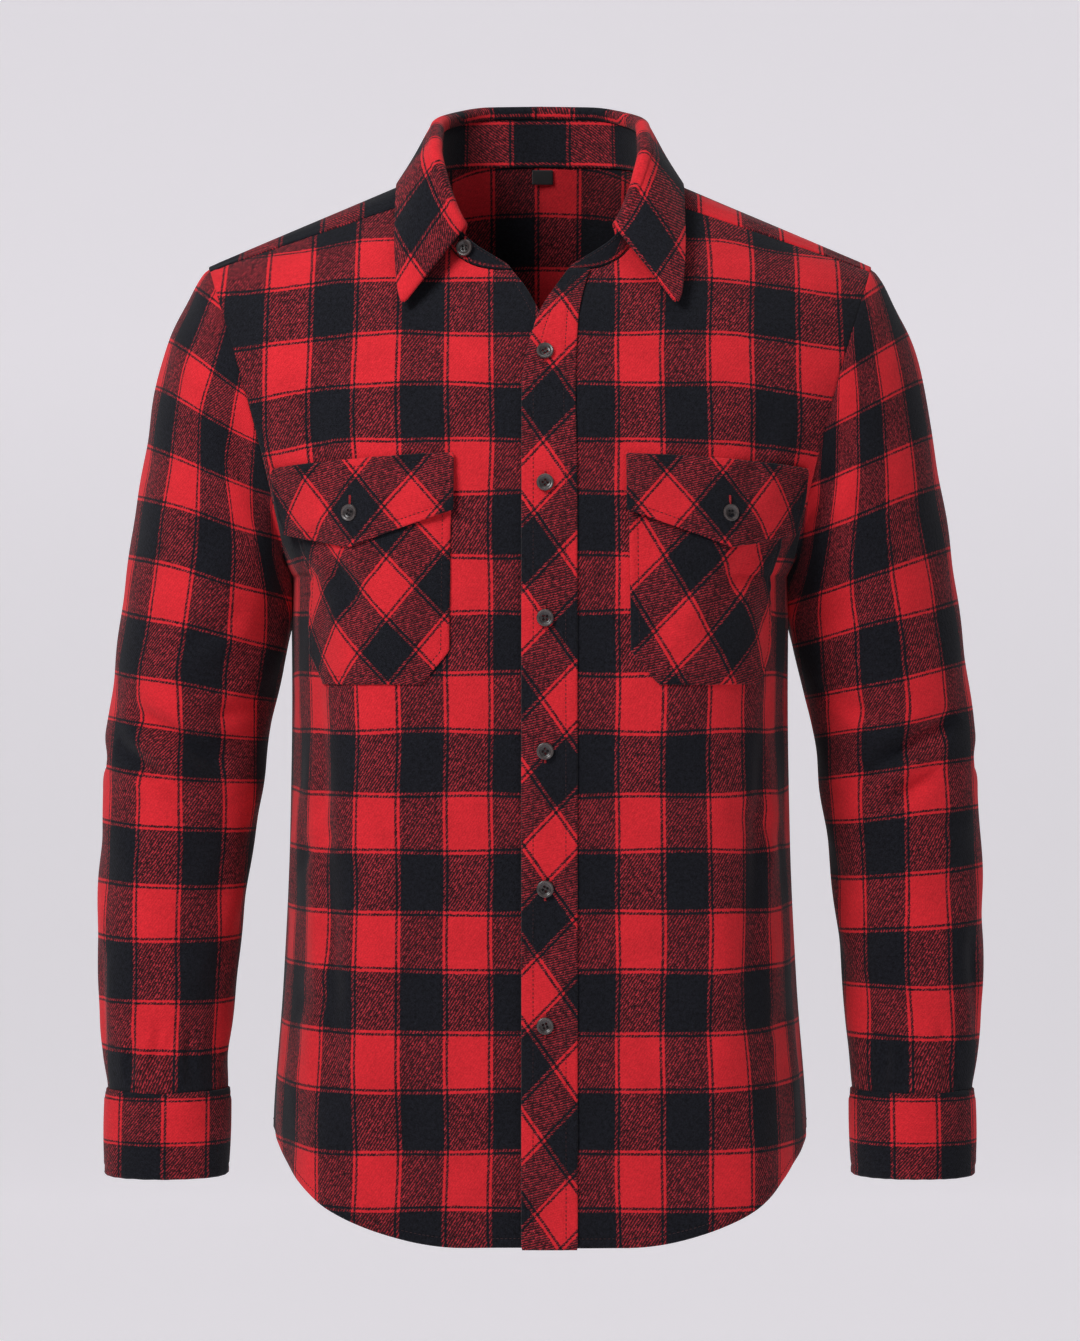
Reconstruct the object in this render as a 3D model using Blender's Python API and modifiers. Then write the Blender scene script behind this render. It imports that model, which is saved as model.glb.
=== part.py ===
"""Long-sleeved flannel shirt, filled out as if worn, in metres with +Z up.

The shirt faces -Y and the wearer's left is +X.  The origin is in the middle of the neck
hole, level with the points where the shoulders meet the neck.  Every panel is worked out
on one family of level body sections, and every sleeve on rings that start at the armhole.
"""
from collections import namedtuple
from functools import lru_cache
from math import acos, copysign, cos, degrees, exp, pi, radians, sin

import bpy
import numpy as np
from mathutils import Vector
from mathutils.bvhtree import BVHTree

# Walls and gaps
PANEL_WALL = 0.0020
TRIM_WALL = 0.0014
CUFF_WALL = 0.0026
SEAM = 0.0003
SIDE_GAP = 0.0006
STAND_GAP = 0.0009
LYING_GAP = 0.0012

# Body: where the shoulders meet the neck, the shoulder tip and the underarm
NECK_POINT = Vector((0.070, 0.0, 0.0165))
TIP = Vector((0.2305, 0.0, -0.0522))
UNDERARM = Vector((0.1740, 0.0, -0.2680))
ARMHOLE_HALF_DEPTH = 0.080
ARMHOLE_BOW = 0.006

# Level sections from the hem up: depths in front and behind, half width at the side seam,
# how flat each face is and how round it turns at the side
Section = namedtuple("Section", "z front back side front_flat back_flat round")
SECTIONS = [
    Section(-0.750, 0.140, 0.128, 0.1885, 8.0, 5.0, 1.25),
    Section(-0.650, 0.139, 0.124, 0.1866, 7.8, 4.8, 1.25),
    Section(-0.550, 0.139, 0.119, 0.1795, 7.0, 4.5, 1.25),
    Section(-0.450, 0.141, 0.120, 0.1750, 6.5, 4.3, 1.25),
    Section(-0.350, 0.144, 0.126, 0.1735, 6.2, 4.2, 1.25),
    Section(-0.268, 0.143, 0.130, 0.1740, 5.0, 4.0, 1.30),
    Section(-0.200, 0.137, 0.131, 0.1740, 3.6, 3.4, 1.35),
    Section(-0.160, 0.129, 0.128, 0.1740, 3.0, 3.0, 1.40),
    Section(-0.100, 0.108, 0.118, 0.1740, 2.6, 2.6, 1.60),
    Section(-0.055, 0.080, 0.105, 0.1740, 2.2, 2.2, 1.90),
    Section(-0.034, 0.066, 0.096, 0.1740, 2.0, 2.0, 2.00),
    Section(-0.010, 0.050, 0.084, 0.1740, 2.0, 2.0, 2.00),
    Section(0.0165, 0.035, 0.068, 0.1740, 2.0, 2.0, 2.00),
]
FRONT, BACK = -1, 1

# Hem, lowest at the middle and highest at the side seams
FRONT_HEM = -0.7180
BACK_HEM = -0.7290
HEM_RISE = 0.066
BACK_HEM_RISE = 0.077
HEM_TURN = (0.24, 1.00)

# Neckline and the yoke's seams
NECK_CORNER = Vector((0.070, 0.0, -0.0004))
NECKLINE_END = Vector((0.0195, 0.0, -0.0600))
NECKLINE_SQUARE = 2.8
YOKE_SEAM_SLOPE = 0.3395
YOKE_BACK_SEAM = -0.100

# Free edges of the two fronts, as distances from the middle towards their own side
FreeEdge = namedtuple("FreeEdge", "z distance")
LEFT_EDGE = [
    FreeEdge(-0.750, -0.0120), FreeEdge(-0.145, -0.0118), FreeEdge(-0.115, -0.0072),
    FreeEdge(-0.094, -0.0009), FreeEdge(-0.075, 0.0098), FreeEdge(-0.060, 0.0195),
]
RIGHT_EDGE = [
    FreeEdge(-0.750, -0.0210), FreeEdge(-0.135, -0.0200), FreeEdge(-0.115, -0.0130),
    FreeEdge(-0.089, 0.0009), FreeEdge(-0.072, 0.0103), FreeEdge(-0.060, 0.0195),
]
LAP = 0.00125
LAP_FLAT = 0.026
LAP_END = 0.050
LAP_TOP, LAP_FULL = -0.066, -0.084

# Button band on the left front: its seam side, as a distance from the middle
BAND_SEAM = [
    FreeEdge(-0.750, 0.0247), FreeEdge(-0.200, 0.0243), FreeEdge(-0.150, 0.0232),
    FreeEdge(-0.098, 0.0252), FreeEdge(-0.072, 0.0300), FreeEdge(-0.060, 0.0340),
]
BAND_DROP = 0.0012
BAND_ROWS = 25

# Neck seam from the middle of the back to the front corner of the yoke
NeckStation = namedtuple("NeckStation", "share x y z")
NECK = [
    NeckStation(0.000, 0.0000, 0.0620, 0.0260), NeckStation(0.150, 0.0360, 0.0555, 0.0250),
    NeckStation(0.290, 0.0600, 0.0345, 0.0215), NeckStation(0.430, 0.0702, 0.0035, 0.0155),
    NeckStation(0.585, 0.0700, -0.0338, -0.0004),
]
CORNER_SHARE = NECK[-1].share
NECK_FAN = (0.0704, 0.0950)
RIDGE_FAN = 0.010

# Collar: the stand's top edge, the fold of the leaf and the leaf's outer edge
CollarStation = namedtuple("CollarStation", "share top fold edge")
COLLAR = [
    CollarStation(0.000, (0.0000, 0.0680, 0.0606), 0.0084, (0.0000, 0.0805, 0.0225)),
    CollarStation(0.150, (0.0370, 0.0615, 0.0592), 0.0084, (0.0450, 0.0755, 0.0215)),
    CollarStation(0.290, (0.0598, 0.0390, 0.0530), 0.0082, (0.0755, 0.0545, 0.0190)),
    CollarStation(0.430, (0.0716, -0.0020, 0.0415), 0.0082, (0.0942, 0.0170, 0.0120)),
    CollarStation(0.585, (0.0720, -0.0430, 0.0220), 0.0082, (0.0982, -0.0300, 0.0020)),
    CollarStation(0.720, (0.0675, -0.0640, -0.0020), 0.0082, (0.0982, -0.0760, -0.0410)),
    CollarStation(0.860, (0.0530, -0.0755, -0.0345), 0.0080, (0.0925, -0.1050, -0.0840)),
    CollarStation(1.000, (0.0220, -0.0800, -0.0560), 0.0080, (0.0220, -0.0800, -0.0560)),
]
LEAF_END = 0.900
LEAF_STEP = 0.02
LEAF_PARTS = (0.2, 0.42, 0.65, 0.83, 1)
LEAF_BULGE = 0.015
FOLD_RADIUS = 0.0038
FOLD_ANGLES = (180, 130, 85, 40, 5)
BODY_MIDDLE = Vector((0.060, 0.010, -0.100))

# Pockets and flaps, as distances from the middle along the chest and as heights
PocketRow = namedtuple("PocketRow", "z inner outer")
POCKET = [
    PocketRow(-0.2090, 0.0595, 0.1880), PocketRow(-0.2380, 0.0600, 0.1870),
    PocketRow(-0.2700, 0.0603, 0.1857), PocketRow(-0.2950, 0.0607, 0.1843),
    PocketRow(-0.3200, 0.0610, 0.1830), PocketRow(-0.3420, 0.0790, 0.1620),
]
POCKET_COLUMNS = 12
FlapColumn = namedtuple("FlapColumn", "distance top bottom")
FLAP = [
    FlapColumn(0.0580, -0.1880, -0.2260), FlapColumn(0.0900, -0.1895, -0.2370),
    FlapColumn(0.1270, -0.1915, -0.2495), FlapColumn(0.1620, -0.1935, -0.2440),
    FlapColumn(0.1960, -0.1955, -0.2380),
]
FLAP_COLUMNS = 12
FLAP_RISE = 0.0026
FLAP_BUTTON = 0.62

# Buttons
BUTTON_RADIUS = 0.0058
BUTTON_HEIGHT = 0.0026
BAND_BUTTON_X = 0.0034
BAND_BUTTON_HEIGHTS = [-0.120, -0.208, -0.298, -0.3865, -0.4785, -0.570]

# Sleeve rings: the outer and inner points seen from the front, the middle's depth, the
# half depth and how far the front bows towards the body
SleeveRing = namedtuple("SleeveRing", "down outer_x outer_z inner_x inner_z middle_y half_depth bow")
SLEEVE = [
    SleeveRing(0.0, 0.2305, -0.0522, 0.1740, -0.2680, 0.0000, 0.0800, 0.0060),
    SleeveRing(0.2, 0.2337, -0.0543, 0.1757, -0.2664, 0.0000, 0.0802, 0.0060),
    SleeveRing(0.5, 0.2385, -0.0605, 0.1768, -0.2670, 0.0000, 0.0802, 0.0055),
    SleeveRing(1.0, 0.2457, -0.0737, 0.1774, -0.2700, 0.0000, 0.0800, 0.0050),
    SleeveRing(2.0, 0.2597, -0.1017, 0.1777, -0.2760, 0.0000, 0.0790, 0.0040),
    SleeveRing(3.0, 0.2690, -0.1375, 0.1779, -0.2830, 0.0010, 0.0770, 0.0030),
    SleeveRing(4.0, 0.2758, -0.1750, 0.1780, -0.2900, 0.0020, 0.0750, 0.0020),
    SleeveRing(5.0, 0.2821, -0.2140, 0.1781, -0.2970, 0.0030, 0.0730, 0.0010),
    SleeveRing(6.0, 0.2884, -0.2557, 0.1782, -0.3050, 0.0040, 0.0710, 0.0000),
    SleeveRing(7.0, 0.2935, -0.2930, 0.1788, -0.3170, 0.0040, 0.0690, 0.0000),
    SleeveRing(8.0, 0.2975, -0.3220, 0.1806, -0.3310, 0.0040, 0.0670, 0.0000),
    SleeveRing(9.0, 0.3005, -0.3460, 0.1842, -0.3480, 0.0040, 0.0650, 0.0000),
    SleeveRing(10.0, 0.3035, -0.3700, 0.1893, -0.3690, 0.0040, 0.0630, 0.0000),
    SleeveRing(11.0, 0.3055, -0.3930, 0.1925, -0.3900, 0.0030, 0.0610, 0.0000),
    SleeveRing(12.0, 0.3067, -0.4160, 0.1942, -0.4130, 0.0010, 0.0590, 0.0000),
    SleeveRing(13.0, 0.3080, -0.4480, 0.1990, -0.4450, -0.0030, 0.0570, 0.0000),
    SleeveRing(14.0, 0.3088, -0.4800, 0.2035, -0.4780, -0.0090, 0.0550, 0.0000),
    SleeveRing(15.0, 0.3086, -0.5120, 0.2070, -0.5110, -0.0160, 0.0530, 0.0000),
    SleeveRing(16.0, 0.3075, -0.5450, 0.2103, -0.5450, -0.0225, 0.0505, 0.0000),
    SleeveRing(17.0, 0.3055, -0.5750, 0.2126, -0.5750, -0.0285, 0.0475, 0.0000),
    SleeveRing(18.0, 0.3022, -0.6000, 0.2150, -0.6000, -0.0335, 0.0445, 0.0000),
    SleeveRing(19.0, 0.2985, -0.6215, 0.2157, -0.6215, -0.0380, 0.0420, 0.0000),
]
SLEEVE_RING_STEPS = [
    0.0, 0.2, 0.5, 1.0, 2.0, 3.0, 4.0, 5.0, 6.0, 7.0, 8.0, 8.8, 9.5, 10.1, 10.7, 11.3, 11.9,
    12.6, 13.4, 14.3, 15.2, 16.1, 17.0, 17.7, 18.4, 19.0,
]
# The largest folds of a sleeve, as lines round it and down it
Fold = namedtuple("Fold", "angle_from z_from angle_to z_to depth width")
SLEEVE_FOLDS = [
    Fold(40, -0.364, 125, -0.409, 0.0045, 0.0070),
    Fold(300, -0.376, 380, -0.398, 0.0040, 0.0075),
    Fold(60, -0.398, 110, -0.428, 0.0025, 0.0070),
    Fold(55, -0.155, 110, -0.215, 0.0050, 0.0120),
    Fold(250, -0.210, 305, -0.160, 0.0045, 0.0120),
]

# Cuffs: rings at the top and at the bottom, and the lap at the back where they button
Cuff = namedtuple("Cuff", "z outer_x inner_x middle_y half_depth")
CUFF = [
    Cuff(-0.6218, 0.2983, 0.2158, -0.0385, 0.0400),
    Cuff(-0.6500, 0.2980, 0.2164, -0.0430, 0.0385),
    Cuff(-0.6785, 0.2975, 0.2170, -0.0475, 0.0380),
]
CUFF_LAP_START = 285
CUFF_LAP = 34
CUFF_BLEND = 40
CUFF_STEP = 14
CUFF_LAP_GAP = 0.0006
SLEEVE_PLACKET = (14.6, 18.7)
SLEEVE_PLACKET_ANGLES = (276, 304)

# Size tab in the neck
TAB_FROM, TAB_TO = -0.0052, 0.0090
TAB_HEIGHT = 0.0104
TAB_WALL = 0.0008

# How finely the panels are divided
NECK_COLUMNS = 7
SHOULDER_STEPS = [0, 0.16, 0.28, 0.38, 0.48, 0.58, 0.70, 0.85, 1]
BACK_COLUMNS = 9
BODY_ROWS = 12
FRONT_ARM_ROWS, YOKE_ROWS, BACK_ARM_ROWS = 9, 8, 7

# Colours and finish
RED_CLOTH = ((0.42, 0.02, 0.03), 0.9)
DARK_CLOTH = ((0.16, 0.02, 0.03), 0.9)
BUTTON_PLASTIC = ((0.05, 0.045, 0.045), 0.35)
TAB_CLOTH = ((0.015, 0.015, 0.018), 0.8)


def slope_at(knots, values, row):
    """Slope of a table's curve at a row, level where the values turn, so that it never overshoots."""
    if row == 0 or row == len(knots) - 1:
        near = 1 if row == 0 else row
        return (values[near] - values[near - 1]) / (knots[near] - knots[near - 1])
    before = (values[row] - values[row - 1]) / (knots[row] - knots[row - 1])
    after = (values[row + 1] - values[row]) / (knots[row + 1] - knots[row])
    total = before + after
    return np.where(before * after > 0, 2 * before * after / np.where(total == 0, 1, total), 0.0)


def smooth(rows, column, at, key="z"):
    """Smooth value of one column of a table, between its rows and level past its ends."""
    knots = np.array([getattr(row, key) for row in rows], dtype=float)
    values = np.array([getattr(row, column) for row in rows], dtype=float)
    at = float(np.clip(at, knots[0], knots[-1]))
    low = min(int(np.searchsorted(knots, at, side="right")) - 1, len(knots) - 2)
    span = knots[low + 1] - knots[low]
    part = (at - knots[low]) / span
    rest = 1 - part
    leave, arrive = slope_at(knots, values, low), slope_at(knots, values, low + 1)
    value = (values[low] * rest * rest * (1 + 2 * part) + values[low + 1] * part * part * (3 - 2 * part)
             + span * part * rest * (leave * rest - arrive * part))
    return value if value.ndim else float(value)


def ease(value, start, end):
    """0 before start, 1 past end, and a soft step between them."""
    part = min(1.0, max(0.0, (value - start) / (end - start)))
    return part * part * (3 - 2 * part)


def blend(first, second, part):
    """Value or point between two others."""
    return first * (1 - part) + second * part


def bend(start, start_way, end, end_way, count):
    """Points of a smooth curve that leaves and arrives along given ways."""
    reach = (end - start).length
    points = []
    for part in np.linspace(0, 1, count):
        rest = 1 - part
        points.append(start * (rest * rest * (1 + 2 * part)) + end * (part * part * (3 - 2 * part))
                      + (start_way * rest - end_way * part) * (reach * part * rest))
    return points


def resample(points, shares):
    """Points at shares of the length of a line of points."""
    steps = [0.0] + [(b - a).length for a, b in zip(points, points[1:])]
    lengths = np.cumsum(steps)
    wanted = np.array(shares) * lengths[-1]
    axes = [np.interp(wanted, lengths, [point[axis] for point in points]) for axis in range(3)]
    return [Vector(place) for place in zip(*axes)]


def mirrored(point):
    """The same point on the other side of the body."""
    return Vector((-point.x, point.y, point.z))


# ---------------------------------------------------------------- body sections

def armhole_share(z):
    """Share of the way down from the shoulder tip to the underarm."""
    return (TIP.z - z) / (TIP.z - UNDERARM.z)


def armhole_point(angle):
    """Armhole seam of the left side: 0 at the shoulder tip, 90 in front, 180 underneath."""
    turn = radians(angle)
    up = (1 + cos(turn)) / 2
    bow = ARMHOLE_BOW * sin(turn) ** 2
    middle = blend(UNDERARM, TIP, up)
    return Vector((middle.x - bow, -ARMHOLE_HALF_DEPTH * sin(turn), middle.z))


def armhole_angle(z):
    """Angle at which the armhole seam passes a height."""
    return degrees(acos(1 - 2 * armhole_share(z)))


def ridge_z(x):
    """Height of the shoulder line."""
    return NECK_POINT.z - (x - NECK_POINT.x) * (NECK_POINT.z - TIP.z) / (TIP.x - NECK_POINT.x)


def ridge_x(z):
    """Distance of the shoulder line from the middle at a height."""
    return NECK_POINT.x + (NECK_POINT.z - z) * (TIP.x - NECK_POINT.x) / (NECK_POINT.z - TIP.z)


def section_end(z):
    """Half width and depth at which a level section ends."""
    if z >= TIP.z:
        return ridge_x(z), SIDE_GAP
    if z <= UNDERARM.z:
        return smooth(SECTIONS, "side", z), SIDE_GAP
    seam = armhole_point(armhole_angle(z))
    return seam.x, max(-seam.y, SIDE_GAP)


@lru_cache(maxsize=None)
def section_line(z, face):
    """One face of a level section: distances along it, half widths and depths."""
    depth = smooth(SECTIONS, "front" if face == FRONT else "back", z)
    flat = smooth(SECTIONS, "front_flat" if face == FRONT else "back_flat", z)
    turn = smooth(SECTIONS, "round", z)
    end_x, end_y = section_end(z)
    width = end_x / (1 - (end_y / depth) ** turn) ** (1 / flat)
    x = end_x * np.sin(np.linspace(0, pi / 2, 160))
    y = depth * (1 - (x / width) ** flat) ** (1 / turn)
    lengths = np.concatenate([[0.0], np.cumsum(np.hypot(np.diff(x), np.diff(y)))])
    return lengths, x, face * y


def body_point(distance, z, face):
    """Point of the body at a distance from the middle, measured along the cloth."""
    lengths, x, y = section_line(round(z, 6), face)
    reach = abs(distance)
    return Vector((copysign(np.interp(reach, lengths, x), distance), np.interp(reach, lengths, y), z))


def body_out(distance, z, face):
    """Outward direction of the body at a distance from the middle."""
    step = 0.004
    across = body_point(distance + step, z, face) - body_point(distance - step, z, face)
    up = body_point(distance, z + step, face) - body_point(distance, z - step, face)
    out = across.cross(up).normalized()
    return out if out.y * face > 0 else -out


def face_width(z, face):
    """Length of one face of a section, from the middle to its end."""
    return section_line(round(z, 6), face)[0][-1]


# ---------------------------------------------------------------- making nodes

def finish(name, colour, roughness):
    """Material of one piece."""
    material = bpy.data.materials.new(name)
    material.use_nodes = True
    shader = material.node_tree.nodes["Principled BSDF"]
    shader.inputs["Base Color"].default_value = (*colour, 1)
    shader.inputs["Roughness"].default_value = roughness
    shader.inputs["Metallic"].default_value = 0
    material.diffuse_color = (*colour, 1)
    return material


def place(name, mesh, look):
    """Object in the shirt's collection with its own material."""
    piece = bpy.data.objects.new(name, mesh)
    piece.data.materials.append(finish(name, *look))
    SHIRT.objects.link(piece)
    return piece


def cloth(name, rows, wall, look, side=1, closed=False):
    """Sheet through rows of points, with its wall on the inner side."""
    across = len(rows[0])
    spans = across if closed else across - 1
    faces = []
    for row in range(len(rows) - 1):
        for column in range(spans):
            following = (column + 1) % across
            corners = (row * across + column, row * across + following,
                       (row + 1) * across + following, (row + 1) * across + column)
            faces.append(corners if side > 0 else corners[::-1])
    mesh = bpy.data.meshes.new(name)
    mesh.from_pydata([point for row in rows for point in row], [], faces)
    mesh.shade_smooth()
    piece = place(name, mesh, look)
    thick = piece.modifiers.new("Wall", "SOLIDIFY")
    thick.thickness = wall
    thick.offset = -1
    return piece


# ---------------------------------------------------------------- fronts

def lap_lift(distance, z):
    """How far a front stands off the body section where the fronts lap."""
    near = 1 - ease(abs(distance), LAP_FLAT, LAP_END)
    return LAP * near * ease(-z, -LAP_TOP, -LAP_FULL)


def front_top(x):
    """Height of a front's upper edge: the neckline, then the yoke's seam."""
    if x < NECK_CORNER.x:
        part = max(0.0, (x - NECKLINE_END.x) / (NECK_CORNER.x - NECKLINE_END.x))
        drop = NECK_CORNER.z - NECKLINE_END.z
        return NECK_CORNER.z - drop * (1 - part ** NECKLINE_SQUARE) ** (1 / NECKLINE_SQUARE)
    return NECK_CORNER.z - (x - NECK_CORNER.x) * YOKE_SEAM_SLOPE


def front_distance(share, z, edge):
    """Distance from the middle at a share of the way from the free edge to the side."""
    return blend(smooth(edge, "distance", z), face_width(z, FRONT), share)


def front_top_z(share, edge):
    """Height at which a column of the front meets its upper edge."""
    low, high = -0.30, NECK_POINT.z - SEAM
    for _ in range(40):
        middle = (low + high) / 2
        x = body_point(front_distance(share, middle, edge), middle, FRONT).x
        if middle < front_top(x):
            low = middle
        else:
            high = middle
    return (low + high) / 2


def front_shares(edge):
    """Shares of the front's columns, with one column at the yoke's corner."""
    edge_at_corner = smooth(edge, "distance", NECK_CORNER.z)
    lengths, xs, _ = section_line(round(NECK_CORNER.z, 6), FRONT)
    corner = (np.interp(NECK_CORNER.x, xs, lengths) - edge_at_corner) / (lengths[-1] - edge_at_corner)
    neck = np.linspace(0, corner, NECK_COLUMNS + 1)
    return list(neck) + [blend(corner, 1, step) for step in SHOULDER_STEPS[1:]]


FRONT_SEAM_ANGLE = armhole_angle(front_top(TIP.x - 0.0007))
BACK_SEAM_ANGLE = armhole_angle(YOKE_BACK_SEAM)


def arm_steps(seam_angle, rows):
    """Shares of the height from the underarm to a seam, at even steps round the armhole."""
    angles = np.linspace(180, seam_angle, rows + 1)
    heights = [armhole_point(angle).z for angle in angles]
    return [(z - heights[0]) / (heights[-1] - heights[0]) for z in heights]


def front_rows(edge, lift):
    """Rows of one front from the hem up, on the left side of the body."""
    shares = front_shares(edge)
    tops = [front_top_z(share, edge) for share in shares]
    rows = []
    for step in range(BODY_ROWS):
        row = []
        for share in shares:
            hem = FRONT_HEM + HEM_RISE * ease(share, *HEM_TURN)
            row.append((share, blend(hem, UNDERARM.z, step / BODY_ROWS)))
        rows.append(row)
    for step in arm_steps(FRONT_SEAM_ANGLE, FRONT_ARM_ROWS):
        rows.append([(share, blend(UNDERARM.z, top - 1.5 * SEAM, step)) for share, top in zip(shares, tops)])
    return [[front_place(share, z, edge, lift) for share, z in row] for row in rows]


def front_place(share, z, edge, lift):
    """Point of a front, standing off the section by its lap."""
    distance = front_distance(share, z, edge)
    point = body_point(distance, z, FRONT)
    off = lift * lap_lift(distance, z)
    return point + body_out(distance, z, FRONT) * off if off else point


def make_fronts():
    """Left front, and the right front that passes under it."""
    cloth("front_left", front_rows(LEFT_EDGE, 1), PANEL_WALL, RED_CLOTH)
    right = [[mirrored(point) for point in row] for row in front_rows(RIGHT_EDGE, -1)]
    cloth("front_right", right, PANEL_WALL, RED_CLOTH, side=-1)


# ---------------------------------------------------------------- back and yoke

def make_back():
    """Back from side seam to side seam, up to the yoke."""
    shares = np.linspace(-1, 1, 2 * BACK_COLUMNS + 1)
    rows = []
    hem = np.array([BACK_HEM + BACK_HEM_RISE * ease(abs(share), *HEM_TURN) for share in shares])
    for step in range(BODY_ROWS):
        rows.append(list(zip(shares, blend(hem, UNDERARM.z, step / BODY_ROWS))))
    top = YOKE_BACK_SEAM - SEAM / 2
    for step in arm_steps(BACK_SEAM_ANGLE, BACK_ARM_ROWS):
        rows.append([(s, blend(UNDERARM.z, top, step)) for s in shares])
    rows = [[body_point(s * face_width(z, BACK), z, BACK) for s, z in row] for row in rows]
    cloth("back", rows, PANEL_WALL, RED_CLOTH, side=-1)


def neck_point(share):
    """Neck seam on the yoke."""
    return Vector([smooth(NECK, axis, share, key="share") for axis in "xyz"])


def yoke_line(start, end_share):
    """Line of the yoke from its upper edge over the shoulder to the seam on the back."""
    back_z = YOKE_BACK_SEAM + SEAM / 2
    distance = end_share * face_width(back_z, BACK)
    end = body_point(distance, back_z, BACK)
    end_way = (body_point(distance, back_z - 0.004, BACK) - end).normalized()
    if start.y < -0.001:
        sideways = 1 - ease(start.x, *NECK_FAN)
        ridge = Vector((blend(start.x, end.x, 0.2) + RIDGE_FAN * sideways, 0, 0))
        ridge.z = ridge_z(ridge.x)
        over = Vector((end.x - start.x, end.y - start.y, 0)).normalized()
        lengths, xs, _ = section_line(round(start.z, 6), FRONT)
        along = np.interp(start.x, xs, lengths)
        up = (body_point(along, start.z + 0.003, FRONT) - body_point(along, start.z, FRONT)).normalized()
        start_way = (up + Vector((2 * sideways, 0, 0))).normalized()
        line = bend(start, start_way, ridge, over, 16) + bend(ridge, over, end, end_way, 40)[1:]
    else:
        level = Vector((end.x - start.x, end.y - start.y, 0)).normalized()
        fall = -1.6 * (start.y / NECK[0].y) ** 1.5
        start_way = (level + Vector((0, 0, fall))).normalized()
        line = bend(start, start_way, end, end_way, 56)
    return resample(line, np.linspace(0, 1, YOKE_ROWS + 1))


def yoke_starts():
    """Upper edge of half the yoke: the neck seam, then the seam on the front."""
    starts = [neck_point(share) for share in np.linspace(0, CORNER_SHARE, NECK_COLUMNS + 1)]
    for share in front_shares(LEFT_EDGE)[NECK_COLUMNS + 1:]:
        z = front_top_z(share, LEFT_EDGE)
        starts.append(body_point(front_distance(share, z, LEFT_EDGE), z, FRONT))
    return starts


def make_yoke():
    """Yoke: it crosses both shoulders from the fronts to the back."""
    starts = yoke_starts()
    last = len(starts) - 1
    lines = [yoke_line(start, place / last) for place, start in enumerate(starts)]
    seam = [armhole_point(angle) for angle in np.linspace(FRONT_SEAM_ANGLE, -BACK_SEAM_ANGLE, YOKE_ROWS + 1)]
    miss = [on_seam - on_line for on_seam, on_line in zip(seam, lines[-1])]
    for place, line in enumerate(lines):
        near = ease(place / last, 0.55, 1)
        lines[place] = [point + off * near for point, off in zip(line, miss)]
    columns = [[mirrored(point) for point in line] for line in lines[:0:-1]] + lines
    cloth("yoke", [list(row) for row in zip(*columns)], PANEL_WALL, DARK_CLOTH, side=-1)
    return lines


# ---------------------------------------------------------------- collar

def neck_seam():
    """Corners of half the neck seam, from the middle of the back to the front edge, by share."""
    back = [(share, neck_point(share)) for share in np.linspace(0, CORNER_SHARE, NECK_COLUMNS + 1)]
    front = []
    for column in front_shares(LEFT_EDGE)[:NECK_COLUMNS][::-1]:
        z = front_top_z(column, LEFT_EDGE)
        front.append(body_point(front_distance(column, z, LEFT_EDGE), z, FRONT))
    steps = [(after - before).length for before, after in zip([back[-1][1]] + front, front)]
    shares = CORNER_SHARE + (1 - CORNER_SHARE) * np.cumsum(steps) / sum(steps)
    return back + list(zip(shares, front))


def collar_line(share, line):
    """Point of the stand's top, of the fold or of the leaf's edge."""
    return Vector(smooth(COLLAR, line, share, key="share"))


def stand_rows():
    """Rows of half the stand from the neck seam to its top edge."""
    bottom = []
    top = []
    line = neck_seam()
    for place, (share, seam) in enumerate(line):
        edge = collar_line(share, "top")
        before, after = line[max(place - 1, 0)][1], line[min(place + 1, len(line) - 1)][1]
        along = (after - before).normalized()
        up = edge - seam
        bottom.append(seam + (up - along * up.dot(along)).normalized() * STAND_GAP)
        top.append(edge)
    return [[blend(low, high, part) for low, high in zip(bottom, top)] for part in (0, 0.5, 1)]


def both_sides(half):
    """Whole row from its left half, which starts in the middle."""
    return [mirrored(point) for point in half[:0:-1]] + half


def make_stand():
    """Collar stand: a band on the neck seam that leans back towards the neck."""
    rows = [both_sides(row) for row in stand_rows()]
    cloth("collar_stand", rows, PANEL_WALL, DARK_CLOTH, side=-1)


def shoulder_surface(yoke_lines):
    """Left side of the yoke and of the front, as one surface to lay the leaf on."""
    points = []
    faces = []
    for grid in (front_rows(LEFT_EDGE, 1)[BODY_ROWS:], [list(row)[::-1] for row in zip(*yoke_lines)]):
        across, start = len(grid[0]), len(points)
        points += [point for row in grid for point in row]
        for row in range(len(grid) - 1):
            for column in range(across - 1):
                corner = start + row * across + column
                faces.append((corner, corner + 1, corner + across + 1, corner + across))
    return BVHTree.FromPolygons(points, faces)


def laid(point, surface, gap):
    """Point moved straight off a surface where it is nearer than a gap."""
    nearest, _, _, _ = surface.find_nearest(point)
    off = point - nearest
    away = (nearest - BODY_MIDDLE).normalized()
    if off.length > gap and off.dot(away) > 0:
        return point
    if off.dot(away) <= 0:
        off = -off
    return nearest + (off.normalized() if off.length > gap / 4 else away) * gap


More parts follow.
